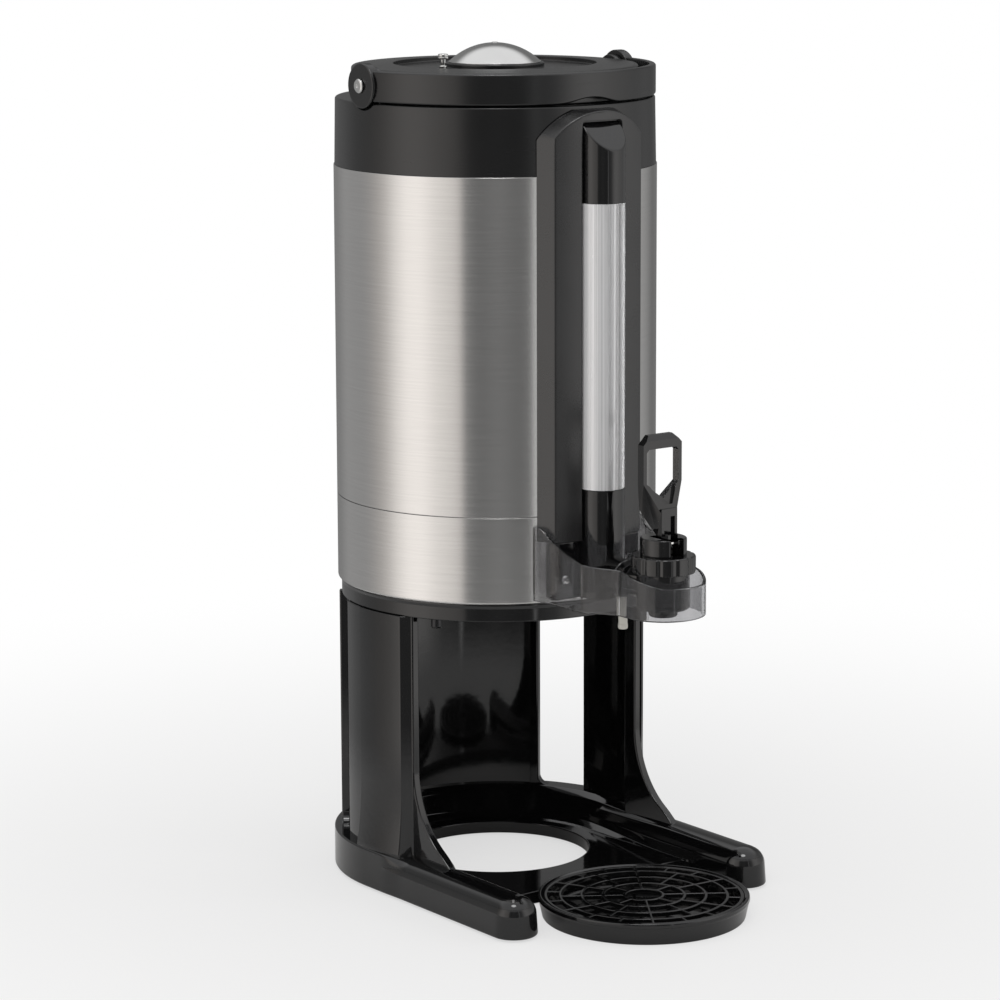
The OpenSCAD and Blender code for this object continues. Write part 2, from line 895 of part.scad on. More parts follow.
// The handle's loop above its bend, in X and Z
module handle_loop() {
  half = loop_w / 2;
  chamfer = 6;
  bar = 9;
  difference() {
    polygon([
      [-half, -0.5],
      [half, -0.5],
      [half, loop_h - chamfer],
      [half - chamfer, loop_h],
      [chamfer - half, loop_h],
      [-half, loop_h - chamfer]
    ]);
    polygon([
      [2.7 - half, -1],
      [half - 2.7, -1],
      [half - 2.7, loop_h - bar - 2],
      [half - 4.7, loop_h - bar],
      [4.7 - half, loop_h - bar],
      [2.7 - half, loop_h - bar - 2]
    ]);
  }
}

// The solid part between the loop and the bonnet, its flanks bevelled towards the front
module handle_paddle() {
  half = loop_w / 2;
  foot_z = handle_z + 4.6;
  difference() {
    intersection() {
      translate([0, handle_y + 40, 0])
        rotate([90, 0, 0])
          linear_extrude(80)
            polygon([
              [-half, bend_z],
              [half, bend_z],
              [half, bend_z - 16],
              [grip_half + 3.3, foot_z],
              [-grip_half - 3.3, foot_z],
              [-half, bend_z - 16]
            ]);
      translate([-loop_w, 0, 0])
        rotate([90, 0, 90])
          linear_extrude(2 * loop_w)
            polygon([
              [loop_y, bend_z],
              [loop_y - 6.3, bend_z - 19],
              [loop_y - 7.3, foot_z],
              [loop_y - 2.3, foot_z],
              [loop_y + 4.7, bend_z - 17],
              [loop_y + loop_t, bend_z]
            ]);
    }
    both_sides()
      translate([-half, loop_y, bend_z])
        rotate([0, 98.9, 221.4])
          translate([-50, -50, 0]) cube([100, 100, 60]);
  }
}

module tap_handle() {
  foot_top = cross_z - cross_r - run_gap;
  half = loop_w / 2;
  stem_y = loop_y - 7.3;
  color(gloss_black)
    about_axis()
      difference() {
        union() {
          // The loop, with the front of its top edge bevelled
          intersection() {
            translate([0, loop_y + loop_t, bend_z])
              rotate([90, 0, 0]) linear_extrude(loop_t) handle_loop();
            translate([-loop_w, 0, 0])
              rotate([90, 0, 90])
                linear_extrude(2 * loop_w)
                  polygon([
                    [loop_y - 0.1, bend_z - 1],
                    [loop_y - 0.1, bend_z + loop_h - 3.6],
                    [loop_y + 2.8, bend_z + loop_h + 0.1],
                    [loop_y + loop_t + 0.1, bend_z + loop_h + 0.1],
                    [loop_y + loop_t + 0.1, bend_z - 1]
                  ]);
          }
          handle_paddle();
          translate([-grip_half, stem_y, handle_z + 4.6]) cube([2 * grip_half, 5.4, 18]);
          // The two cheeks that straddle the valve stem, with a toe under its cross pin
          both_sides() {
            along_x(hub_r, cheek_in, cheek_out, handle_y, handle_z);
            translate([cheek_in, handle_y - 3.6, handle_z]) cube([cheek_out - cheek_in, 7.2, 6]);
            translate([cheek_in, handle_y - 1.6, nose_z - 1.4])
              cube([cheek_out - cheek_in, 3, handle_z - nose_z + 1.4]);
            translate([cheek_in, handle_y - 1.6, nose_z - 1.4])
              cube([cheek_out - cheek_in, pivot_back + 1.6, 2.4]);
            along_x(foot_top - nose_z, cheek_in, cheek_out, tap_y, nose_z);
          }
        }
        // The finger window's pointed lower end
        translate([0, handle_y + 40, bend_z])
          rotate([90, 0, 0])
            linear_extrude(80)
              polygon([[2.7 - half, 0.6], [2.7 - half, -0.2], [0, -10.5], [half - 2.7, -0.2], [half - 2.7, 0.6]]);
        // The recess in the paddle's leaning front and the one down the stem
        translate([0, loop_y, bend_z])
          rotate([-paddle_lean, 0, 0])
            translate([0, 2.6, 0])
              rotate([90, 0, 0])
                linear_extrude(20)
                  polygon([[3.6 - half, 0.8], [half - 3.6, 0.8], [grip_half - 1.9, -14.6], [1.9 - grip_half, -14.6]]);
        translate([2 - grip_half, stem_y - 1, handle_z + 4]) cube([2 * grip_half - 4, 3.2, 13.4]);
        along_x(1.9 + pin_play, -crown_r, crown_r, handle_y, handle_z);
      }
}

module handle_pin() {
  half = sqrt(crown_r * crown_r - pivot_back * pivot_back) - 1;
  color("silver")
    about_axis()
      along_x(1.9, -half, half, handle_y, handle_z);
}

// The guard's plan outline, drawn in by a distance
module guard_plan(inset) {
  half = guard_half - inset;
  nose = nose_r - inset;
  shift = shoulder_shift * inset / guard_t;
  polygon([
    [-half - wing_flare, -body_r * 0.8],
    [-half - wing_flare, -body_r + 6],
    [-half, -body_r - 6],
    [-half, shoulder_back_y + shift],
    [-nose, shoulder_front_y + shift],
    [-nose, tap_y],
    [nose, tap_y],
    [nose, shoulder_front_y + shift],
    [half, shoulder_back_y + shift],
    [half, -body_r - 6],
    [half + wing_flare, -body_r + 6],
    [half + wing_flare, -body_r * 0.8]
  ]);
  translate([0, tap_y]) circle(r = nose, $fn = 120);
}

module tap_guard() {
  wing_top = guard_z + wing_h;
  shoulder_top = guard_z + shoulder_h;
  nose_top = guard_z + nose_h;
  drop = wing_top - shoulder_top;
  wing_y = -body_r + 2;
  tab_y = channel_y - 0.2;
  color([0.35, 0.35, 0.37, 0.6])
    about_axis()
      difference() {
        union() {
          difference() {
            translate([0, 0, guard_z])
              linear_extrude(wing_h)
                difference() {
                  guard_plan(0);
                  guard_plan(guard_t);
                }
            upright(body_r + 0.4, 0, 0, guard_z - 1, wing_top + 1);
            // The top edge sweeps down from the wings to the shoulders and the nose
            translate([-guard_w, 0, 0])
              rotate([90, 0, 90])
                linear_extrude(2 * guard_w)
                  polygon([
                    [wing_y, wing_top + 1],
                    [wing_y, wing_top],
                    [wing_y - 8, wing_top - 0.35 * drop],
                    [wing_y - 24, wing_top - 0.70 * drop],
                    [shoulder_back_y - 6, shoulder_top],
                    [shoulder_front_y, shoulder_top - 0.5],
                    [tap_y - 7, nose_top + 4.5],
                    [tap_y - 17, nose_top + 1.5],
                    [tap_y - nose_r + 5, nose_top],
                    [tap_y - nose_r - 5, nose_top],
                    [tap_y - nose_r - 5, wing_top + 1]
                  ]);
          }
          // The tabs that are screwed to the gauge's foot
          both_sides()
            translate([guard_screw_x - 7, tab_y - guard_t, guard_z + 3])
              cube([guard_half - guard_t / 2 - guard_screw_x + 7, guard_t, 24]);
        }
        for (x = [-guard_screw_x, guard_screw_x])
          along_y(1.6 + seat_play, tab_y + 1, tab_y - guard_t - 1, guard_screw_z, x);
      }
}

module guard_screws() {
  head_y = channel_y - 0.2 - guard_t;
  color("silver")
    about_axis()
      for (x = [-guard_screw_x, guard_screw_x]) {
        along_y(1.6, channel_y + 3.8, head_y, guard_screw_z, x);
        along_y(3.4, head_y, head_y - 2.2, guard_screw_z, x);
      }
}

// Half of an arm's cross-section, in X from its middle and Z from the base's underside
module arm_half_section() {
  half = arm_w / 2;
  polygon([
    [0, 0],
    [half, 0],
    [half - 1.2, arm_h * 0.62],
    [half - 4, arm_h * 0.79],
    [half * 0.38, arm_h - ground_gap - 0.9],
    [0, arm_h - ground_gap]
  ]);
}

// One arm with its domed end
module arm() {
  translate([arm_x, 0, ground_gap])
    rotate([90, 0, 0])
      linear_extrude(-arm_end_y) {
        arm_half_section();
        mirror([1, 0]) arm_half_section();
      }
  translate([arm_x, arm_end_y, ground_gap])
    rotate_extrude($fn = 96)
      arm_half_section();
}

module base_frame() {
  color(gloss_black)
    about_axis()
      difference() {
        union() {
          // The plate between the arms
          translate([0, 0, ground_gap])
            linear_extrude(plate_h) {
              circle(r = base_r, $fn = 180);
              translate([-arm_x, front_edge_y]) square([2 * arm_x, -front_edge_y]);
            }
          // The rear rim that carries the pillars and the panel
          intersection() {
            rotate_extrude($fn = 180)
              polygon([
                [arm_x - arm_w / 2, ground_gap],
                [base_r, ground_gap],
                [base_r, rim_h - 1.5],
                [base_r - 1, rim_h],
                [rim_in_r, rim_h],
                [rim_in_r - 3, rim_h - 2],
                [arm_x - arm_w / 2 + 3, plate_top + 4],
                [arm_x - arm_w / 2, plate_top]
              ]);
            translate([-base_r - 5, fin_y + 1, 0]) cube([2 * base_r + 10, base_r - fin_y + 5, rim_h + 1]);
          }
          both_sides() arm();
        }
        upright(base_hole_r, 0, 0, -1, plate_top + 1);
        // The bay that the tray lies in
        upright(tray_r - 0.5, 0, tray_y, -1, arm_h + 5);
        both_sides() {
          upright(foot_r + 0.2, arm_x, arm_end_y + 6, -1, foot_top);
          upright(foot_r + 0.2, arm_x, -35, -1, foot_top);
          upright(foot_r + 0.2, base_r * 0.55, base_r * 0.68, -1, foot_top);
          for (a = [90, 150])
            rotate([0, 0, a - 90]) {
              upright(3.4, pillar_screw_r, 0, -1, 8);
              upright(1.6 + seat_play, pillar_screw_r, 0, 7, rim_h + 1);
            }
        }
      }
}

// The half section of a pillar's wall, flared at its foot
module pillar_section() {
  flare = base_r - 1 - pillar_r;
  flare_h = 48;
  flare_r = (flare_h * flare_h + flare * flare) / (2 * flare);
  difference() {
    translate([pillar_in_r, rim_h]) square([pillar_t + flare, ring_z - rim_h]);
    translate([pillar_r + flare_r, rim_h + flare_h]) circle(r = flare_r, $fn = 360);
    translate([pillar_r, rim_h + flare_h]) square([flare + 5, ring_z]);
  }
}

// The fin down a pillar's front edge, flared forward on to the arm
module fin_outline() {
  flare_r = 60;
  flare_z = rim_h + flare_r;
  end_deg = 62;
  end_y = fin_y - flare_r * (1 - cos(end_deg));
  end_z = flare_z - flare_r * sin(end_deg);
  foot_z = arm_h + 0.1;
  foot_y = end_y - (end_z - foot_z) * 1.4;
  difference() {
    polygon([
      [fin_y + 12, rim_h],
      [fin_y + 12, ring_z],
      [fin_y, ring_z],
      [fin_y, flare_z],
      [end_y, end_z],
      [foot_y, foot_z],
      [fin_y + 0.6, foot_z],
      [fin_y + 0.6, rim_h]
    ]);
    intersection() {
      translate([fin_y - flare_r, flare_z]) circle(r = flare_r, $fn = 240);
      translate([end_y, end_z]) square([fin_y - end_y, flare_z - end_z]);
    }
  }
}

module pillar() {
  difference() {
    union() {
      intersection() {
        rotate_extrude($fn = 180) pillar_section();
        wedge(pillar_front_a, window_front_a, 1, rim_h - 1, ring_z + 1);
      }
      translate([fin_x, 0, 0])
        rotate([90, 0, 90])
          linear_extrude(fin_t) fin_outline();
      // The bevelled front corner that joins the fin to the wall
      translate([0, 0, rim_h])
        linear_extrude(ring_z - rim_h)
          polygon([
            [fin_x, fin_y + 0.6],
            [fin_x + fin_t, fin_y + 0.6],
            [pillar_r * sin(pillar_front_a) - 0.6, fin_y + 5.2],
            [pillar_r * sin(pillar_front_a), fin_y + 6.4],
            [pillar_r * sin(pillar_front_a) - 2, fin_y + 10],
            [fin_x, fin_y + 10]
          ]);
    }
    // Behind the crease the wall stands back and has no flare
    intersection() {
      tube(base_r + 5, pillar_r - 0.8, rim_h - 1, ring_z + 1);
      wedge(crease_a, window_front_a + 5, 1, rim_h - 2, ring_z + 2);
    }
    upright(1.5, pillar_screw_r, 0, rim_h - 1, rim_h + 16);
  }
}

module left_pillar() {
  color(gloss_black)
    about_axis()
      mirror([1, 0, 0]) pillar();
}

module right_pillar() {
  color(gloss_black)
    about_axis()
      pillar();
}

module back_panel() {
  color(gloss_black)
    about_axis()
      difference() {
        union() {
          difference() {
            tube(panel_out_r, panel_in_r, rim_h, ring_z);
            wedge(0, window_rear_a / 2 + 1, 1, rim_h - 1, ring_z + 1);
            wedge(window_rear_a / 2, window_rear_a, 1, rim_h - 1, ring_z + 1);
            wedge(0, window_rear_a / 2 + 1, -1, rim_h - 1, ring_z + 1);
            wedge(window_rear_a / 2, window_rear_a, -1, rim_h - 1, ring_z + 1);
          }
          // The stiff edges beside the windows
          both_sides()
            intersection() {
              tube(pillar_r, pillar_in_r - 0.5, rim_h, ring_z);
              wedge(window_rear_a, window_rear_a + 3.5, 1, rim_h - 1, ring_z + 1);
            }
        }
        both_sides()
          rotate([0, 0, 60])
            upright(1.5, pillar_screw_r, 0, rim_h - 1, rim_h + 16);
      }
}

module support_ring() {
  color(gloss_black)
    about_axis()
      difference() {
        rotate_extrude($fn = 180)
          polygon([
            [ring_in_r, ring_z],
            [ring_r, ring_z],
            [ring_r, stand_h - 3],
            [ring_r + 0.8, stand_h - 1],
            [ring_r + 0.8, stand_h],
            [ring_in_r, stand_h]
          ]);
        for (a = [60, 120, 240, 300])
          rotate([0, 0, a - 90])
            upright(2 + seat_play, vessel_screw_r, 0, ring_z - 1, stand_h + 1);
      }
}

module vessel_screws() {
  color("dimgray")
    about_axis() {
      for (a = [60, 120, 240, 300])
        rotate([0, 0, a - 90]) {
          upright(3.7, vessel_screw_r, 0, ring_z - 7, ring_z);
          upright(2 - 0.05, vessel_screw_r, 0, ring_z - 0.1, liner_z - 2.1);
        }
    }
}

module pillar_screws() {
  color("dimgray")
    about_axis()
      both_sides()
        for (a = [90, 150])
          rotate([0, 0, a - 90]) {
            upright(3.2, pillar_screw_r, 0, 5, 8);
            upright(1.45, pillar_screw_r, 0, 7.9, rim_h + 15.8);
          }
}

module rubber_feet() {
  color("dimgray")
    about_axis()
      both_sides() {
        upright(foot_r, arm_x, arm_end_y + 6, 0, foot_top);
        upright(foot_r, arm_x, -35, 0, foot_top);
        upright(foot_r, base_r * 0.55, base_r * 0.68, 0, foot_top);
      }
}

module drip_tray() {
  rim_t = 2;
  foot_in = 3;
  color(gloss_black)
    about_axis()
      translate([0, tray_y, 0])
        rotate_extrude($fn = 180)
          polygon([
            [0, 0],
            [tray_r - foot_in, 0],
            [tray_r - 0.6, tray_h - 4],
            [tray_r, tray_h - 2.5],
            [tray_r - 0.4, tray_h],
            [tray_r - rim_t, tray_h],
            [grille_r + run_gap, tray_h - 0.8],
            [grille_r + run_gap, grille_z],
            [grille_r - 3, grille_z],
            [tray_r - foot_in - tray_wall - 3, tray_wall],
            [0, tray_wall]
          ]);
}

// One ring of the grille, in plan
module ring_plan(outer_r, inner_r) {
  difference() {
    circle(r = outer_r, $fn = 180);
    circle(r = inner_r, $fn = 180);
  }
}

module drip_grille() {
  counts = [8, 12, 12, 18];
  half = bar_w / 2;
  color(gloss_black)
    about_axis()
      translate([0, tray_y, grille_z + 0.1])
        rotate([0, 0, grille_turn])
          linear_extrude(grille_h) {
            ring_plan(grille_r, grille_r - 2.4);
            for (i = [0:3])
              ring_plan(grille_eye_r + i * grille_step + half, grille_eye_r + i * grille_step - half);
            difference() {
              for (i = [0:3])
                for (k = [0:counts[i] - 1])
                  rotate([0, 0, 360 * k / counts[i]])
                    translate([grille_eye_r + i * grille_step, -half * 0.8])
                      square([grille_step + half, half * 1.6]);
              ring_plan(grille_r + 30, grille_r - 1);
            }
          }
}

lower_band();
outer_shell();
inner_liner();
vessel_base();
collar();
bail_handle();
pivot_pins();
lid_body();
lid_gasket();
lid_dome();
vent_stem();
gauge_housing();
gauge_cover();
gauge_glass();
glass_clip();
gauge_cap();
gauge_sleeve();
glass_seals();
drain_plug();
tap_shank();
shank_nut();
shank_washer();
shank_collar();
tap_body();
tap_bonnet();
tap_stem();
stem_pin();
seat_cup();
tap_spring();
tap_handle();
handle_pin();
tap_guard();
guard_screws();
base_frame();
left_pillar();
right_pillar();
back_panel();
support_ring();
vessel_screws();
pillar_screws();
rubber_feet();
drip_tray();
drip_grille();
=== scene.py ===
"""The looks of an insulated drink dispenser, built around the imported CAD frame.

Every surface is worked out with numpy in millimetres about the vessel's axis, with +Z up and the
front towards -Y, and put down in metres in the frame's own axes. Profiles, outlines and paths are
rounded first, then turned, stacked or carried into grids of points.
"""
import math

import bmesh
import bpy
import numpy as np
from bpy.props import FloatProperty, FloatVectorProperty, IntProperty, PointerProperty
from bpy.types import Operator, Panel, PropertyGroup
from mathutils import Matrix, Vector
from mathutils.geometry import delaunay_2d_cdt


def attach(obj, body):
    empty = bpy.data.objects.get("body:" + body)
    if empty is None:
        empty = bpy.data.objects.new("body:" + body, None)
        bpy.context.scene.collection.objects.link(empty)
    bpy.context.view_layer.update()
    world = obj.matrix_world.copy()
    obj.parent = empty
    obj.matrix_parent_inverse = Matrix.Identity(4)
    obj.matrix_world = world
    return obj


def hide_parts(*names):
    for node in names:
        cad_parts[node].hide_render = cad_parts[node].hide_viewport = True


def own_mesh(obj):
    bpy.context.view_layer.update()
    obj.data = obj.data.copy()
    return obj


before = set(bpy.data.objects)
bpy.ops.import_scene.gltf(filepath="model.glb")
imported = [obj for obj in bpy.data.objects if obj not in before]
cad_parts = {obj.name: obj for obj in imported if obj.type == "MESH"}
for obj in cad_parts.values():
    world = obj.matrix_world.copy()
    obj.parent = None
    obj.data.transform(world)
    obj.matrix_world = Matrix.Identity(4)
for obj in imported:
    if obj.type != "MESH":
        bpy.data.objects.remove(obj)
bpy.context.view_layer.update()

bl_info = {
    "name": "Insulated Drink Dispenser",
    "version": (1, 0, 0),
    "blender": (4, 5, 0),
    "location": "View3D > Sidebar > Dispenser",
    "description": "Builds the dispenser's visible pieces and its studio",
    "category": "Object",
}

MM = 0.001
AXIS_Y = 60.75
VESSEL_AXIS = (0.0, AXIS_Y * MM, 0.0)

# Heights in millimetres above the table
VESSEL_Z, SEAM_Z, SHELL_TOP, COLLAR_TOP = 207.0, 266.0, 492.0, 537.5
PIVOT_Z, LID_TOP, RECESS_Z, RING_Z = 548.75, 558.5, 556.5, 195.0
HOUSING_Z, ARCH_Z, CAP_Z, CAP_TOP, SLEEVE_TOP = 250.0, 492.5, 474.5, 527.0, 284.5
SHANK_Z, BARREL_TOP, CROWN_Z, CROWN_TOP, GUARD_Z = 227.0, 238.0, 249.5, 261.0, 209.5
LEVER_Z, CROSS_Z, RIM_Z, PLATE_TOP, PLATE_LOW = 258.0, 254.5, 28.5, 10.0, 1.5

# Radii about the vessel's axis, and places in front of it
BODY_R, SHELL_IN_R, COLLAR_R, PILLAR_R, PILLAR_IN_R = 110.0, 108.8, 109.4, 109.6, 103.6
CHANNEL_Y, COVER_Y, GLASS_Y, TAP_Y, LEVER_Y, TRAY_Y = -115.5, -118.5, -123.5, -184.0, -191.5, -165.0
COLUMN_R, CROWN_R, ARM_X, ARM_END_Y = 15.4, 15.4, 98.0, -151.0
FIN_Y, FIN_X0, FIN_X1 = -37.44, 92.7, 98.4

JOIN, SPECK = 3e-6, 1e-6  # metres: points nearer than JOIN become one, and edges under SPECK go
ACRYLIC, GLASS = 1.49, 1.52  # how strongly each refracts
WHITE = (1.0, 1.0, 1.0, 1.0)


def unit(vectors):
    """Scales each vector to length one, and leaves a zero vector alone."""
    length = np.linalg.norm(vectors, axis=-1, keepdims=True)
    return vectors / np.where(length < 1e-12, 1.0, length)


def rounded(points, radii, steps=5, ease=0.3):
    """Rounds a polygon's corners: each becomes an arc that touches both its edges, centred on their
    bisector at radius / sin(half angle), with one more point on each edge just past the arc.
    A corner of radius zero stays one point. Leading axes are a batch of polygons."""
    points = np.asarray(points, float)
    radii = np.broadcast_to(np.asarray(radii, float), points.shape[-2])
    radius = radii[:, None]
    before = unit(np.roll(points, 1, -2) - points)
    after = unit(np.roll(points, -1, -2) - points)
    cosine = np.clip((before * after).sum(-1, keepdims=True), -1.0, 1.0)
    half = np.maximum(np.arccos(cosine) / 2, 1e-4)
    reach = radius / np.tan(half)
    middle = points + unit(before + after) * radius / np.sin(half)
    first = points + before * reach - middle
    last = points + after * reach - middle
    start = np.arctan2(first[..., 1], first[..., 0])
    turn = np.arctan2(last[..., 1], last[..., 0]) - start
    turn = (turn + np.pi) % (2 * np.pi) - np.pi
    angle = start[..., None] + turn[..., None] * np.linspace(0, 1, steps + 1)
    arc = middle[..., None, :] + radius[:, None] * np.stack([np.cos(angle), np.sin(angle)], -1)
    lead = points + before * (reach + ease * radius)
    tail = points + after * (reach + ease * radius)
    found = np.concatenate([lead[..., None, :], arc, tail[..., None, :]], -2)
    keep = np.ones((len(radii), steps + 3), bool)
    keep[radii == 0, 1:] = False
    return found[..., keep, :]


def profile(rows, steps=5, ease=0.3):
    """Rounds a polygon given as rows of its two coordinates and each corner's radius."""
    rows = np.asarray(rows, float)
    return rounded(rows[:, :2], rows[:, 2], steps, ease)


def arc(radius, start, end, count, centre=(0.0, 0.0)):
    """Points on a circle from one angle to another, in degrees, end included."""
    angle = np.radians(np.linspace(start, end, count))
    return np.stack([centre[0] + radius * np.cos(angle), centre[1] + radius * np.sin(angle)], -1)


def smooth(value, low, high):
    """Goes from 0 at low to 1 at high along 3t^2 - 2t^3."""
    share = np.clip((np.asarray(value, float) - low) / (high - low), 0.0, 1.0)
    return share * share * (3 - 2 * share)


def evened(values, weights, ends="edge"):
    """Replaces each value by the weighted mean of its neighbours."""
    return np.convolve(np.pad(values, len(weights) // 2, ends), weights / weights.sum(), "valid")


def spaced(path, gap):
    """Adds points to a path at every multiple of the gap along it, and keeps its own points."""
    walk = np.concatenate([[0], np.cumsum(np.linalg.norm(np.diff(path, axis=0), axis=1))])
    stops = np.unique(np.concatenate([walk, np.arange(0, walk[-1], gap)]))
    return np.stack([np.interp(stops, walk, path[:, k]) for k in range(2)], -1)


def quads(rows, columns, close_rows=False, close_columns=False):
    """The faces between neighbouring points of a grid, as rows of four indices."""
    row = np.arange(rows if close_rows else rows - 1)[:, None]
    column = np.arange(columns if close_columns else columns - 1)[None]
    next_row, next_column = (row + 1) % rows, (column + 1) % columns
    corners = [row * columns + column, row * columns + next_column,
               next_row * columns + next_column, next_row * columns + column]
    return np.stack(np.broadcast_arrays(*corners), -1).reshape(-1, 4).tolist()


def surface(points, close_rows=False, close_columns=False, row_caps=False):
    """A shell from a grid of points, with its first and last rows closed by a face if asked."""
    rows, columns = points.shape[:2]
    faces = quads(rows, columns, close_rows, close_columns)
    if row_caps:
        index = np.arange(rows * columns).reshape(rows, columns)
        faces += [index[0].tolist(), index[-1].tolist()]
    return points.reshape(-1, 3), faces


# Which coordinates a turned shape's plan and its height become, by the axis that it is turned about
AXES = {"Z": (0, 1, 2), "X": (1, 2, 0), "Y": (0, 2, 1)}


def revolved(section, count, centre=(0.0, 0.0), axis="Z", closed=True):
    """Turns a section of (radius, height) about an axis through centre: at each angle a point
    stands at (radius cos, radius sin, height). The section is given once or for each angle."""
    angle = np.radians(np.linspace(0.0, 360.0, count, endpoint=False))[:, None]
    section = np.asarray(section, float)
    radius, height = np.broadcast_to(section, (count,) + section.shape[-2:]).transpose(2, 0, 1)
    local = np.stack([centre[0] + radius * np.cos(angle), centre[1] + radius * np.sin(angle),
                      height], -1)
    points = np.empty_like(local)
    points[..., list(AXES[axis])] = local
    return surface(points, close_rows=True, close_columns=closed)


def turned(rows, count, ease=0.3, **about):
    """Rounds rows of (radius, height, corner radius) and turns them about an axis."""
    return revolved(profile(rows, ease=ease), count, **about)


def offset(outline, distance):
    """Moves a closed outline's points to their left along the mitre of their two edges."""
    forward = unit(np.roll(outline, -1, -2) - outline)
    backward = unit(outline - np.roll(outline, 1, -2))
    left = np.stack([-forward[..., 1], forward[..., 0]], -1)
    mitre = unit(left + np.stack([-backward[..., 1], backward[..., 0]], -1))
    return outline + mitre * distance / np.clip((mitre * left).sum(-1, keepdims=True), 0.4, 1.0)


def edge_steps(edge, steps=4):
    """How far a rounded edge stands in, and how far below its face, from the wall to the face."""
    turn = np.linspace(0, np.pi / 2, steps + 1)
    inset = np.concatenate([[0.0], edge * (1 - np.cos(turn)), [edge * 1.4]])
    depth = np.concatenate([[edge * 1.4], edge * (1 - np.sin(turn)), [0.0]])
    return inset, depth


def level(height, outline):
    """A height given as one number or as a function of the outline's points."""
    return height(outline) if callable(height) else np.full(len(outline), float(height))


def slab(outline, low, high, edge=0.6, hollow=False, low_edge=None):
    """Stands an outline up between two heights with rounded edges: loops of the outline, drawn in
    along a quarter circle at both ends. A hollow one keeps its ends open, for faces with holes."""
    upper = np.stack(edge_steps(edge), -1)
    lower = np.stack(edge_steps(edge if low_edge is None else low_edge), -1)[::-1]
    loops = [np.column_stack([found := offset(outline, inset), level(low, found) + depth])
             for inset, depth in lower]
    loops += [np.column_stack([found := offset(outline, inset), level(high, found) - depth])
              for inset, depth in upper]
    return surface(np.stack(loops), close_columns=True, row_caps=not hollow)


def inside(points, outlines):
    """Which points lie inside an odd number of outlines: each edge that a ray towards +X crosses
    counts."""
    starts = np.concatenate(outlines)
    ends = np.concatenate([np.roll(outline, -1, 0) for outline in outlines])
    y = points[:, 1:2]
    spans = (starts[:, 1] > y) != (ends[:, 1] > y)
    rise = np.where(starts[:, 1] == ends[:, 1], 1.0, ends[:, 1] - starts[:, 1])
    cross = starts[:, 0] + (y - starts[:, 1]) / rise * (ends[:, 0] - starts[:, 0])
    return (spans & (cross > points[:, :1])).sum(1) % 2 == 1


def plate(outlines, low, high, edge=0.6):
    """A flat plate with holes: a rounded wall round each outline, the outer one anticlockwise and
    the holes clockwise, and both faces triangulated between the drawn-in outlines."""
    shells = [slab(outline, low, high, edge, hollow=True) for outline in outlines]
    for end in (0, -1):
        rings = [points.reshape(-1, len(outline), 3)[end]
                 for (points, _), outline in zip(shells, outlines)]
        starts = np.cumsum([0] + [len(ring) for ring in rings])
        edges = [(int(start) + k, int(start) + (k + 1) % len(ring))
                 for start, ring in zip(starts, rings) for k in range(len(ring))]
        plan = np.concatenate(rings)
        found = delaunay_2d_cdt([Vector(point) for point in plan[:, :2]], edges, [], 1, 1e-7)
        corners, faces = np.array(found[0]), np.array(found[2])
        middle = corners[faces].mean(1)
        faces = faces[inside(middle, [ring[:, :2] for ring in rings])]
        face_points = np.column_stack([corners, np.full(len(corners), plan[0, 2])])
        shells.append((face_points, faces.tolist()))
    points, faces = [], []
    for shell_points, shell_faces in shells:
        start = sum(len(done) for done in points)
        faces += [[start + int(i) for i in face] for face in shell_faces]
        points.append(shell_points)
    return np.concatenate(points), faces


def lying(shell, y):
    """Lays a shell drawn about Z along Y, with its foot at y and its plan in X and Z."""
    points, faces = shell
    return np.stack([points[:, 0], y + points[:, 2], points[:, 1]], -1), faces


def shifted(shell, y):
    """The same shell further along Y."""
    return shell[0] + (0.0, y, 0.0), shell[1]


def mirrored(shell):
    """The same shell on the other side of the X = 0 plane, its faces turned round."""
    return shell[0] * (-1, 1, 1), [face[::-1] for face in shell[1]]


def carried(path, sections):
    """Carries a section of (offset, height) along a plan path, one section for each of its points:
    a point lies on the path's left-hand normal at the offset, stretched to the mitre at a bend."""
    ahead = np.roll(path, -1, 0) - path
    behind = path - np.roll(path, 1, 0)
    ahead[-1], behind[0] = behind[-1], ahead[0]
    ahead, behind = unit(ahead), unit(behind)
    along = unit(ahead + behind)
    normal = np.stack([-along[:, 1], along[:, 0]], -1)
    stretch = 1 / np.clip((normal * np.stack([-ahead[:, 1], ahead[:, 0]], -1)).sum(1), 0.5, 1)
    plan = path[:, None] + normal[:, None] * (sections[..., :1] * stretch[:, None, None])
    return np.concatenate([plan, sections[..., 1:]], -1)


def tube_along(path, radius, count):
    """A round tube about a path in space: a circle across the path's direction at each point."""
    along = unit(np.gradient(path, axis=0))
    side = unit(np.cross(along, (0.0, 0.0, 1.0)))
    over = np.cross(side, along)
    angle = np.linspace(0, 2 * np.pi, count, endpoint=False)
    ring = side[:, None] * np.cos(angle)[:, None] + over[:, None] * np.sin(angle)[:, None]
    return surface(path[:, None] + radius * ring, close_columns=True, row_caps=True)


def build(name, shells, body, slot, finish, stands_for, sharp=32.0):
    """Puts shells into one mesh at the frame's place, joins their seams and rides it on a body."""
    starts = np.cumsum([0] + [len(points) for points, _ in shells])
    points = np.concatenate([points for points, _ in shells]) * MM + VESSEL_AXIS
    faces = [[int(start) + i for i in face]
             for start, (_, found) in zip(starts, shells) for face in found]
    mesh = bpy.data.meshes.new(name)
    mesh.from_pydata(points, [], faces)
    work = bmesh.new()
    work.from_mesh(mesh)
    bmesh.ops.remove_doubles(work, verts=work.verts, dist=JOIN)
    bmesh.ops.dissolve_degenerate(work, edges=work.edges, dist=SPECK)
    bmesh.ops.recalc_face_normals(work, faces=work.faces)
    work.to_mesh(mesh)
    work.free()
    return place(name, mesh, body, finish, stands_for, sharp)


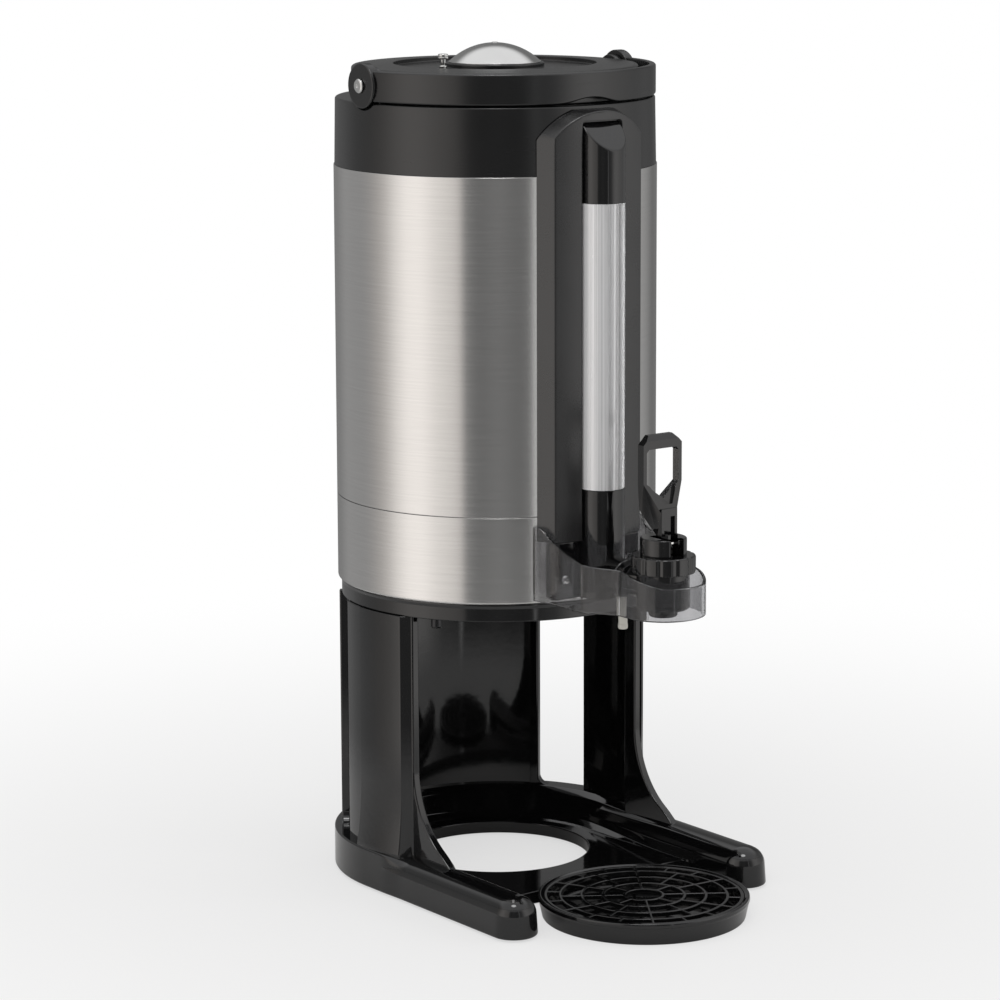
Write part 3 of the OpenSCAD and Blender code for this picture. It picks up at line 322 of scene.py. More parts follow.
def place(name, mesh, body, finish, stands_for, sharp=32.0):
    """Makes the piece of a finished mesh: smooth but for its sharp edges, in its finish, on its
    body, in place of the CAD nodes that it stands for."""
    mesh.shade_smooth()
    mesh.set_sharp_from_angle(angle=math.radians(sharp))
    mesh.materials.clear()
    mesh.materials.append(finish)
    piece = bpy.data.objects.new(name, mesh)
    bpy.context.scene.collection.objects.link(piece)
    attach(piece, body)
    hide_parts(*stands_for)
    return piece


class Wire:
    """A shader socket that Python's operators extend with Math nodes."""

    def __init__(self, tree, socket):
        """Keeps the socket and the tree that it belongs to."""
        self.tree, self.socket = tree, socket

    def math(self, operation, *values):
        """Adds a Math node of an operation on two values."""
        return make(self.tree, "ShaderNodeMath", {"operation": operation}, dict(enumerate(values)))

    def __add__(self, other):
        """This plus the other."""
        return self.math("ADD", self, other)

    def __sub__(self, other):
        """This less the other."""
        return self.math("SUBTRACT", self, other)

    def __rsub__(self, other):
        """The other less this."""
        return self.math("SUBTRACT", other, self)

    def __mul__(self, other):
        """This times the other."""
        return self.math("MULTIPLY", self, other)

    def __truediv__(self, other):
        """This over the other."""
        return self.math("DIVIDE", self, other)

    __radd__, __rmul__ = __add__, __mul__

    def step(self, low, high):
        """Rises smoothly from 0 at low to 1 at high."""
        return make(self.tree, "ShaderNodeMapRange", {"interpolation_type": "SMOOTHSTEP"},
                    {0: self, 1: low, 2: high})


def make(tree, kind, settings=None, sockets=None, output=0):
    """Adds a node: its settings first, then the values or links of its sockets. A node without
    outputs gives nothing back."""
    node = tree.nodes.new(kind)
    for key, value in (settings or {}).items():
        if key == "stops":
            ramp = node.color_ramp
            while len(ramp.elements) < len(value):
                ramp.elements.new(0.5)
            for element, (position, colour) in zip(ramp.elements, value):
                element.position, element.color = position, (*colour, 1.0)
        else:
            setattr(node, key, value)
    for key, value in (sockets or {}).items():
        if isinstance(value, Wire):
            tree.links.new(value.socket, node.inputs[key])
        else:
            node.inputs[key].default_value = value
    return Wire(tree, node.outputs[output]) if node.outputs else None


def ray(tree, kind):
    """1 for rays of one kind, and 0 for all others."""
    return make(tree, "ShaderNodeLightPath", output=f"Is {kind} Ray")


def blend(tree, factor, first, second):
    """Mixes two colours by a factor."""
    return make(tree, "ShaderNodeMix", {"data_type": "RGBA"}, {0: factor, 6: first, 7: second}, 2)


def shade(colour, share):
    """A colour scaled to a share of itself, with an alpha of one."""
    return tuple(min(channel * share, 1.0) for channel in colour[:3]) + (1.0,)


class Surface:
    """A material in the making, with the few patterns that the finishes share."""

    def __init__(self, name):
        """Starts an empty material that is placed by the object's own coordinates."""
        self.material = bpy.data.materials.new(name)
        self.material.use_nodes = True
        self.tree = self.material.node_tree
        self.tree.nodes.clear()
        self.place = make(self.tree, "ShaderNodeTexCoord", output="Object")

    def axes(self, centre=VESSEL_AXIS):
        """X, Y and Z in metres from a centre."""
        moved = make(self.tree, "ShaderNodeMapping", {"vector_type": "POINT"},
                     {0: self.place, "Location": tuple(-c for c in centre)})
        return [make(self.tree, "ShaderNodeSeparateXYZ", None, {0: moved}, k) for k in range(3)]

    def noise(self, scale, detail=2.0, roughness=0.5, at=None):
        """Noise of so many waves per metre along each axis."""
        if at is None:
            at = make(self.tree, "ShaderNodeMapping", {"vector_type": "POINT"},
                      {0: self.place, "Scale": scale if isinstance(scale, tuple) else (scale,) * 3})
        return make(self.tree, "ShaderNodeTexNoise", None,
                    {"Vector": at, "Scale": 1.0, "Detail": detail, "Roughness": roughness})

    def streaks(self, around, up, detail=3.0, centre=VESSEL_AXIS):
        """Lines round an upright axis: noise over the angle, scaled by the vessel's radius, and the
        height."""
        x, y, z = self.axes(centre)
        turn = x.math("ARCTAN2", x, y)
        at = make(self.tree, "ShaderNodeCombineXYZ", None,
                  {0: turn * (around * BODY_R * MM), 1: z * up, 2: 0.0})
        return self.noise(1.0, detail, 0.6, at)

    def bump(self, height, distance):
        """Relief from a height of 0 to 1 over a distance in metres."""
        return make(self.tree, "ShaderNodeBump", None,
                    {"Height": height, "Distance": distance, "Strength": 1.0})

    def finish(self, **sockets):
        """Ends the material in one Principled shader whose sockets are named with underscores."""
        shader = make(self.tree, "ShaderNodeBsdfPrincipled", None,
                      {key.replace("_", " "): value for key, value in sockets.items()})
        return self.end(shader)

    def end(self, shader):
        """Ends the material in a shader."""
        make(self.tree, "ShaderNodeOutputMaterial", None, {"Surface": shader})
        return self.material


def brushed_steel(name, colour, line_depth):
    """Steel brushed round the vessel: fine lines in the roughness, the tone and the relief."""
    s = Surface(name)
    fine, broad = s.streaks(26.0, 2300.0), s.streaks(14.0, 800.0, 3.0)
    cloud = s.noise(14.0, 2.0)
    tone = fine * 0.5 + broad * 0.5
    return s.finish(
        Base_Color=blend(s.tree, tone.step(0.3, 0.72), shade(colour, 0.95), shade(colour, 1.04)),
        Metallic=1.0, Roughness=0.145 + tone * 0.13 + cloud * 0.03,
        Anisotropic=0.8, Anisotropic_Rotation=0.25,
        Normal=s.bump(tone, line_depth))


def spun_steel(name, colour, roughness):
    """Smooth bright steel with faint turned lines, finger haze and a few hairlines."""
    s = Surface(name)
    haze, lines = s.noise(60.0, 3.0), s.noise((900.0, 900.0, 2400.0), 2.0)
    hair = s.noise((180.0, 2600.0, 700.0), 1.0).step(0.66, 0.7)
    return s.finish(
        Base_Color=blend(s.tree, haze, shade(colour, 0.93), shade(colour, 1.02)),
        Metallic=1.0, Roughness=roughness + haze * 0.07 + hair * 0.08,
        Normal=s.bump(lines, 0.000012))


def satin_plastic(name, colour, roughness, grain, uneven=0.12):
    """Moulded plastic with a spark-eroded grain, a little uneven in tone and gloss."""
    s = Surface(name)
    pits = s.noise(2300.0, 2.0, 0.6)
    patch, rub = s.noise(24.0, 3.0), s.noise((35.0, 35.0, 260.0), 3.0)
    return s.finish(
        Base_Color=blend(s.tree, patch.step(0.3, 0.7), shade(colour, 0.88), shade(colour, 1.14)),
        Roughness=roughness + patch * 0.08 + rub.step(0.6, 0.75) * 0.04 + (pits - 0.5) * uneven,
        Specular_IOR_Level=0.7,
        Normal=s.bump(pits, grain))


def gloss_plastic(name, colour, roughness=0.055):
    """Polished black moulding: a faint orange-peel, fine dust and hairline rubbing."""
    s, grey_dust = Surface(name), (0.09, 0.09, 0.085, 1.0)
    peel = s.noise(150.0, 1.0)
    dust = s.noise(1500.0, 1.0).step(0.72, 0.78)
    rub = s.noise((60.0, 900.0, 240.0), 2.0).step(0.6, 0.72)
    patch = s.noise(18.0, 2.0)
    return s.finish(
        Base_Color=blend(s.tree, dust * 0.5, shade(colour, 1.0), grey_dust),
        Roughness=roughness + patch * 0.03 + rub * 0.035 + dust * 0.12,
        Specular_IOR_Level=0.5, Coat_Weight=0.25 + patch * 0.15, Coat_Roughness=0.03,
        Normal=s.bump(peel, 0.00003))


def clear_tube(name, colour, roughness):
    """A clear drawn tube with faint lines down its length and light scuffs."""
    s = Surface(name)
    lines = s.noise((900.0, 900.0, 9.0), 2.0)
    scuff = s.noise((240.0, 240.0, 60.0), 3.0).step(0.62, 0.76)
    return s.finish(
        Base_Color=blend(s.tree, lines, shade(colour, 0.96), shade(colour, 1.0)),
        Roughness=roughness + scuff * 0.06, IOR=GLASS, Transmission_Weight=1.0,
        Normal=s.bump(lines, 0.00002))


def milky_plastic(name, colour):
    """Clear half-round cover with drawn streaks along it: a milky shader mixed with a clear one by
    the streaks' density, plus a painted highlight that makes the -X side milkier, standing in for
    the light falling from the left."""
    s, pale, paler = Surface(name), (0.82, 0.82, 0.83, 1.0), (0.97, 0.97, 0.98, 1.0)
    centre = (0.0, (AXIS_Y + COVER_Y) * MM, 0.0)
    wide, fine = s.streaks(40.0, 0.7, 2.0, centre), s.streaks(230.0, 1.5, 2.0, centre)
    scuff = s.noise((300.0, 300.0, 40.0), 2.0).step(0.62, 0.76)
    # Painted highlight: the cover is made milkier towards -X, where the light from the left falls,
    # on top of the drawn streaks' own milkiness.
    painted_highlight_x = s.axes(centre)[0] * -1.0
    streaks_and_painted_highlight = (wide.step(0.35, 0.65) * 0.26 + fine.step(0.3, 0.7) * 0.14
             + painted_highlight_x.step(-0.004, 0.014) * 0.58 + 0.02)
    glass = make(s.tree, "ShaderNodeBsdfPrincipled", None,
                 {"Base Color": shade(colour, 1.0), "Roughness": 0.02 + scuff * 0.05,
                  "IOR": ACRYLIC, "Transmission Weight": 1.0, "Normal": s.bump(fine, 0.00003)})
    milk = make(s.tree, "ShaderNodeBsdfPrincipled", None,
                {"Base Color": blend(s.tree, fine, pale, paler), "Roughness": 0.2 + scuff * 0.1,
                 "Metallic": 0.15, "Normal": s.bump(fine, 0.00002)})
    return s.end(make(s.tree, "ShaderNodeMixShader", None, {0: streaks_and_painted_highlight, 1: glass, 2: milk}))


def smoke_plastic(name, colour):
    """Tinted clear moulding: glossy smoke grey with a little haze and fine scuffs."""
    s = Surface(name)
    haze = s.noise(40.0, 3.0)
    scuff = s.noise((500.0, 500.0, 120.0), 2.0).step(0.64, 0.74)
    return s.finish(
        Base_Color=blend(s.tree, haze, shade(colour, 0.92), shade(colour, 1.08)),
        Roughness=0.01 + scuff * 0.015 + haze * 0.006, IOR=ACRYLIC, Transmission_Weight=1.0,
        Normal=s.bump(haze, 0.000004))


def soft_plastic(name, colour, roughness, grain=0.00003):
    """Pale nylon, silicone or dark rubber: matt, slightly mottled, with a fine moulded grain."""
    s = Surface(name)
    grains, patch = s.noise(1700.0, 2.0), s.noise(90.0, 3.0)
    return s.finish(
        Base_Color=blend(s.tree, patch.step(0.25, 0.75), shade(colour, 0.9), shade(colour, 1.06)),
        Roughness=roughness + (grains - 0.5) * 0.15,
        Normal=s.bump(grains, grain))


FINISHES = {}


def finishes(scene):
    """Makes the materials once, from the colours in the sidebar."""
    if not FINISHES:
        c = scene.dispenser_colours
        FINISHES.update(
            shell=brushed_steel("brushed_shell_steel", c.steel, 0.000014),
            liner=spun_steel("liner_spun_steel", c.steel, 0.2),
            bright=spun_steel("bright_turned_steel", c.bright, 0.1),
            screw=spun_steel("dark_screw_steel", c.screw, 0.28),
            satin=satin_plastic("satin_black_moulding", c.satin, 0.2, 0.000008),
            housing=satin_plastic("housing_grey_moulding", c.housing, 0.24, 0.000004, 0.05),
            gloss=gloss_plastic("gloss_black_moulding", c.gloss),
            cover=milky_plastic("clear_cover_plastic", c.clear),
            tube=clear_tube("clear_gauge_tube", c.clear, 0.015),
            smoke=smoke_plastic("smoke_guard_plastic", c.smoke),
            nylon=soft_plastic("ivory_nylon", c.nylon, 0.42),
            silicone=soft_plastic("white_silicone", c.silicone, 0.55),
            rubber=soft_plastic("foot_rubber", c.rubber, 0.7, 0.00006))
    return FINISHES


SLOT_OF = {"shell": "steel_shell", "liner": "liner_steel", "bright": "bright_steel",
           "screw": "dark_steel", "satin": "satin_black", "housing": "housing_grey",
           "gloss": "gloss_black", "cover": "clear_cover", "tube": "clear_tube",
           "smoke": "smoke_guard", "nylon": "white_nylon", "silicone": "white_silicone",
           "rubber": "foot_rubber"}


def piece(context, name, shells, finish, node, body="dispenser", **options):
    """Builds one piece in place of the CAD node of the same part."""
    material = finishes(context.scene)[finish]
    return build(name, shells, body, SLOT_OF[finish], material, (node,), **options)


def colour_setting(label, description, default):
    """A colour that the sidebar shows."""
    return FloatVectorProperty(name=label, description=description, subtype="COLOR", size=3,
                               min=0.0, max=1.0, default=default)


def length_setting(label, description, default):
    """A length that the sidebar shows, its default given in millimetres."""
    return FloatProperty(name=label, description=description, default=default * MM, min=0.0001,
                         unit="LENGTH", subtype="DISTANCE", precision=5)


class DispenserSizes(PropertyGroup):
    """The visible edges and counts that a user would change"""
    hem: length_setting("Hem radius", "Radius of the steel shell's rolled edges", 0.4)
    foot_edge: length_setting("Foot radius", "Radius of the lower band's bottom edge", 1.8)
    bail_edge: length_setting("Bail edge", "Radius of the bail's edges", 1.6)
    mould_edge: length_setting("Moulded edge", "Radius of the stand's moulded edges", 1.2)
    window_corner: length_setting("Window corner", "Radius of the windows' lower rear corners", 7.0)
    flutes: IntProperty(name="Flutes", description="Number of grip flutes round the bonnet",
                        default=12, min=6, max=24)
    coils: FloatProperty(name="Coils", description="Turns of the tap's return spring", default=4.5,
                         min=3.0, max=7.0)


class DispenserColours(PropertyGroup):
    """The colours of the finishes"""
    steel: colour_setting("Steel", "Brushed steel of the vessel", (0.67, 0.662, 0.65))
    bright: colour_setting("Bright steel", "Dome, pins and vent stem", (0.72, 0.72, 0.71))
    screw: colour_setting("Screw steel", "Screws from below", (0.05, 0.05, 0.052))
    satin: colour_setting("Satin black", "Collar, bail and lid", (0.0035, 0.0035, 0.0037))
    housing: colour_setting("Housing grey", "Gauge housing", (0.017, 0.017, 0.0174))
    gloss: colour_setting("Gloss black", "Stand, tray, tap, and the gauge's cap and sleeve",
                          (0.004, 0.004, 0.0043))
    clear: colour_setting("Clear plastic", "Gauge cover and tube", (0.97, 0.975, 0.98))
    smoke: colour_setting("Smoke plastic", "Splash guard", (0.42, 0.42, 0.43))
    nylon: colour_setting("Nylon", "Drain plug", (0.72, 0.7, 0.63))
    silicone: colour_setting("Silicone", "Seals and seat cup", (0.78, 0.78, 0.76))
    rubber: colour_setting("Rubber", "Feet", (0.03, 0.03, 0.03))


class StudioSettings(PropertyGroup):
    """The floor, the lamps and the camera's lens"""
    floor: colour_setting("Floor", "Pale floor", (0.86, 0.86, 0.86))
    warm_light: colour_setting("Softboxes", "Colour of the light panels at the sides",
                               (1.0, 0.957, 0.922))
    key_power: FloatProperty(name="Key power", description="Power of the upper left lamp",
                             default=9.0, min=0.0, subtype="POWER", unit="POWER")
    fill_power: FloatProperty(name="Fill power", description="Power of the right-hand lamp",
                              default=4.0, min=0.0, subtype="POWER", unit="POWER")
    lens: FloatProperty(name="Lens", description="Focal length of the fitted camera",
                        default=133.16, min=20.0, unit="CAMERA", subtype="DISTANCE_CAMERA")


class DISPENSER_OT_vessel(Operator):
    """Builds the brushed shell, the lower band, the liner and the base disc"""
    bl_idname = "dispenser.vessel"
    bl_label = "Vessel"
    bl_options = {"REGISTER", "UNDO"}

    def execute(self, context):
        sizes = context.scene.dispenser_sizes
        hem, foot = sizes.hem / MM, sizes.foot_edge / MM
        sheet, seam, neck_bore, band_hole = 1.2, 0.4, 85.3, 104
        under_top = SHELL_TOP - sheet
        shell = turned([(BODY_R, SEAM_Z + seam, hem * 0.9), (BODY_R, SHELL_TOP, hem),
                        (neck_bore, SHELL_TOP, 0), (neck_bore, under_top, 0),
                        (SHELL_IN_R, under_top, 0), (SHELL_IN_R, SEAM_Z + seam, 0.3)],
                       288, ease=1.5)
        piece(context, "brushed_shell", [shell], "shell", "outer_shell")

        floor_top = VESSEL_Z + 1.4
        band = turned([(BODY_R, VESSEL_Z, foot), (BODY_R, SEAM_Z, hem * 0.9),
                       (SHELL_IN_R, SEAM_Z, 0.3), (SHELL_IN_R, floor_top, 0),
                       (band_hole, floor_top, 0), (band_hole, VESSEL_Z, 0)], 288, ease=1.0)
        spigot = turned([(108.6, 256, 0), (108.6, 274, 0.5), (107.5, 274, 0.5), (107.5, 256, 0)],
                        192)
        piece(context, "brushed_band", [band, spigot], "shell", "lower_band")

        # The liner: up its outside from its floor's middle, over the neck's flange, down its inside
        liner = turned([(0, 213, 0), (98.8, 213, 6), (98.8, 470, 8), (85.2, 488, 5),
                        (85.2, 535.5, 0.6), (90.2, 535.5, 0.5), (90.2, 536.7, 0.5),
                        (84, 536.7, 1.2), (84, 487.4, 6.2), (97.6, 469.5, 6.8),
                        (97.6, 214.2, 4.8), (0, 214.2, 0)], 192, ease=0.5, closed=False)
        piece(context, "inner_vessel", [liner], "liner", "inner_liner")

        disc_low, disc_top, ridge = 208.2, 212, 213
        disc = turned([(0, disc_low, 0), (108.5, disc_low, 0.6), (108.5, disc_top, 0.6),
                       (84.8, disc_top, 0.3), (84.8, ridge, 0.4), (72.8, ridge, 0.4),
                       (72.8, disc_top, 0.3), (0, disc_top, 0)], 128, closed=False)
        piece(context, "base_disc", [disc], "gloss", "vessel_base")
        return {"FINISHED"}


class DISPENSER_OT_collar(Operator):
    """Builds the collar with its ear pockets and lugs, the bail with its ears, and the pins"""
    bl_idname = "dispenser.collar"
    bl_label = "Collar and bail"
    bl_options = {"REGISTER", "UNDO"}

    def ring(self):
        """The collar's profile at each angle. The floor of an ear's pocket is the lower half of a
        cylinder about the pivots' line, met by the collar's top, and a step stands behind it."""
        count, pocket_r, pocket_x = 432, 15.8, 107.0
        turn = np.radians(np.linspace(0, 360, count, endpoint=False))
        across = pocket_x * np.sin(turn)
        floor = PIVOT_Z - np.sqrt(np.maximum(pocket_r ** 2 - across ** 2, 0.0))
        floor = np.where(np.abs(across) < pocket_r, np.minimum(floor, COLLAR_TOP), COLLAR_TOP)
        step = np.minimum(103.25 / np.maximum(np.abs(np.cos(turn)), 0.2), 106.3)
        rows = [(105.4, SHELL_TOP, 0), (COLLAR_R, SHELL_TOP, 0.4), (108.6, floor, 1.5),
                (step, floor, 0), (step, COLLAR_TOP, 0), (90.4, COLLAR_TOP, 0.5), (90.4, 535.4, 0),
                (86.2, 535.4, 0), (86.2, SHELL_TOP, 0), (93.7, SHELL_TOP, 0), (93.7, 532.5, 0),
                (105.4, 532.5, 0)]
        corners = [np.stack(np.broadcast_arrays(radius, height, turn)[:2], -1)
                   for radius, height, _ in rows]
        section = rounded(np.stack(corners, 1), [corner for _, _, corner in rows], ease=0.5)
        return revolved(section, count)

    def bow(self, edge):
        """The bail: its section carried round the front half. Its lower edge rises in the middle
        along a circle through the finger notch's ends and crest."""
        wall, half_height, notch_width, notch_rise = 2.25, 10.25, 37.0, 4.0
        path = arc(106.75, 180.0, 360.0, 200)
        section = profile([(-wall, -half_height, edge), (wall, -half_height, 0.7),
                           (wall, half_height, 0.7), (-wall, half_height, edge)], ease=0.5)
        radius = (notch_width ** 2 / 4 + notch_rise ** 2) / (2 * notch_rise)
        foot = PIVOT_Z - half_height
        under = (foot + notch_rise - radius
                 + np.sqrt(np.maximum(radius ** 2 - path[:, 0] ** 2, 0.0)))
        lift = evened(np.maximum(under - foot, 0.0), np.ones(9))
        sections = np.broadcast_to(section, (len(path),) + section.shape).copy()
        low = np.clip(-section[:, 1] / half_height, 0, 1)
        sections[..., 1] += PIVOT_Z + lift[:, None] * low
        return surface(carried(path, sections), close_columns=True, row_caps=True)

    def execute(self, context):
        sizes = context.scene.dispenser_sizes
        pivot = {"centre": (0.0, PIVOT_Z), "axis": "X"}
        lug_r, lug_in, lug_out, pin_r, head_r = 12, 97.9, 103.2, 3, 4.8
        lug = turned([(0, lug_in, 0), (lug_r, lug_in, 0.6), (lug_r, lug_out, 0.6), (0, lug_out, 0)],
                     64, closed=False, **pivot)
        block = rounded([(lug_out, -lug_r), (lug_out, lug_r), (lug_in, lug_r), (lug_in, -lug_r)],
                        0.6)
        block = slab(block, 536.5, PIVOT_Z, 0.3)
        piece(context, "collar_ring", [self.ring(), lug, mirrored(lug), block, mirrored(block)],
              "satin", "collar")

        ear = turned([(3.1, 103.5, 0), (15, 103.5, 0.6), (15, 110.5, 1.4), (3.1, 110.5, 0.5)], 96,
                     ease=0.5, **pivot)
        piece(context, "bail", [self.bow(sizes.bail_edge / MM), ear, mirrored(ear)],
              "satin", "bail_handle", body="bail")

        pin = turned([(0, lug_in, 0), (pin_r, lug_in, 0.3), (pin_r, 110.9, 0.1),
                      (head_r, 110.9, 0.25), (head_r, 112.0, 0.5), (3.9, 112.75, 0.7),
                      (1.3, 112.85, 0.25), (0.9, 112.3, 0.2), (0, 112.3, 0)],
                     64, closed=False, **pivot)
        piece(context, "bail_pins", [pin, mirrored(pin)], "bright", "pivot_pins")
        return {"FINISHED"}


class DISPENSER_OT_lid(Operator):
    """Builds the lid with its recess and plinth, the gasket, the polished dome and the vent stem"""
    bl_idname = "dispenser.lid"
    bl_label = "Lid"
    bl_options = {"REGISTER", "UNDO"}

    def cap_of_sphere(self, foot):
        """The dome's profile: a cap of a sphere through its rim and crown, on a small rolled rim,
        with a low stud at its crown. The sphere's radius is (rim^2 + rise^2) / (2 * rise)."""
        rim_r, rise, skin_r, stud_r = 31.5, 13.0, 30.9, 2.4
        ball = (rim_r ** 2 + rise ** 2) / (2 * rise)
        angle = np.linspace(math.asin(skin_r / ball), math.asin(stud_r / ball), 40)
        skin = np.stack([ball * np.sin(angle), foot + rise - ball + ball * np.cos(angle)], -1)
        rim = profile([(29.8, foot, 0), (rim_r, foot, 0.25), (rim_r, foot + 0.6, 0.25),
                       (skin_r, foot + 0.62, 0)])
        stud = profile([(stud_r, foot + 12.93, 0.2), (2.0, foot + 12.95, 0.1),
                        (1.9, foot + 13.4, 0.3), (0, foot + 13.4, 0)])
        inner = skin[::-1] * (0.968, 1.0) - (0.0, 1.0)
        return np.concatenate([[[0, foot + 11.8]], inner, rim[1:-1], skin, stud])

    def execute(self, context):
        plug_r, groove_in, groove_out, lid_r = 82.5, 83, 89.3, 97.4
        recess_r, plinth_r, seat_r = 69, 33.5, 27.5
        under, groove_z, seat_z, plinth_z = 537.8, 539.8, 556, RECESS_Z + 3.5
        lid = turned([(0, 517.5, 0), (plug_r, 517.5, 1.5), (plug_r, under, 0),
                      (groove_in, under, 0),
                      (groove_in, groove_z, 0), (groove_out, groove_z, 0), (groove_out, under, 0.3),
                      (lid_r, under, 0.5), (lid_r, LID_TOP, 2.2), (94.6, LID_TOP + 0.1, 0.3),
                      (70.2, 559.7, 0.8), (recess_r, 559.5, 0.2), (recess_r, RECESS_Z, 0.7),
                      (plinth_r, RECESS_Z, 0.7), (plinth_r, plinth_z, 0.9), (seat_r, plinth_z, 0.4),
                      (seat_r, seat_z, 0), (0, seat_z, 0)], 288, ease=0.8, closed=False)
        piece(context, "lid_cover", [lid], "satin", "lid_body", body="lid")

        seal = turned([(83.2, 537.05, 0.3), (89.1, 537.05, 0.9), (89.2, 539.2, 0.3),
                       (83.2, 539.2, 0.3)], 160)
        bead = revolved(arc(1.0, 0, 345, 24, (85.5, 538.0)), 160)
        piece(context, "lid_seal", [seal, bead], "silicone", "lid_gasket", body="lid")

        dome = revolved(self.cap_of_sphere(plinth_z), 160, closed=False)
        piece(context, "dome", [dome], "bright", "lid_dome", body="lid")

        stem_r, flange_r, knob_r = 1.6, 2.6, 3.4
        stem = turned([(0, 547.5, 0), (stem_r, 547.5, 0.3), (stem_r, 556.6, 0.1),
                       (flange_r, 556.6, 0.3), (flange_r, 559, 0.5), (stem_r, 559.3, 0.3),
                       (stem_r, 563.6, 0.3), (knob_r, 564, 0.3), (knob_r, 564.9, 0.15),
                       (3.0, 565.25, 0.15), (knob_r, 565.6, 0.15), (knob_r, 567, 0.7), (0, 567, 0)],
                      48, centre=(-43.0, 0.0), closed=False)
        piece(context, "vent", [stem], "bright", "vent_stem", body="lid")
        return {"FINISHED"}


def half_round(radius, first, last):
    """Part of the gauge column's plan: an arc about its middle from one angle to another."""
    return arc(radius, first, last, 61, (0, COVER_Y))


def corner_curve(point, before, after, reach, steps=4):
    """Rounds corners in space: (1-t)^2 a + 2t(1-t) p + t^2 b from a point a on the edge before to a
    point b on the edge after, both at the reach from the corner p."""
    share = np.linspace(0, 1, steps + 1)[:, None]
    a = (point + unit(before - point) * reach)[:, None]
    b = (point + unit(after - point) * reach)[:, None]
    return (1 - share) ** 2 * a + 2 * share * (1 - share) * point[:, None] + share ** 2 * b


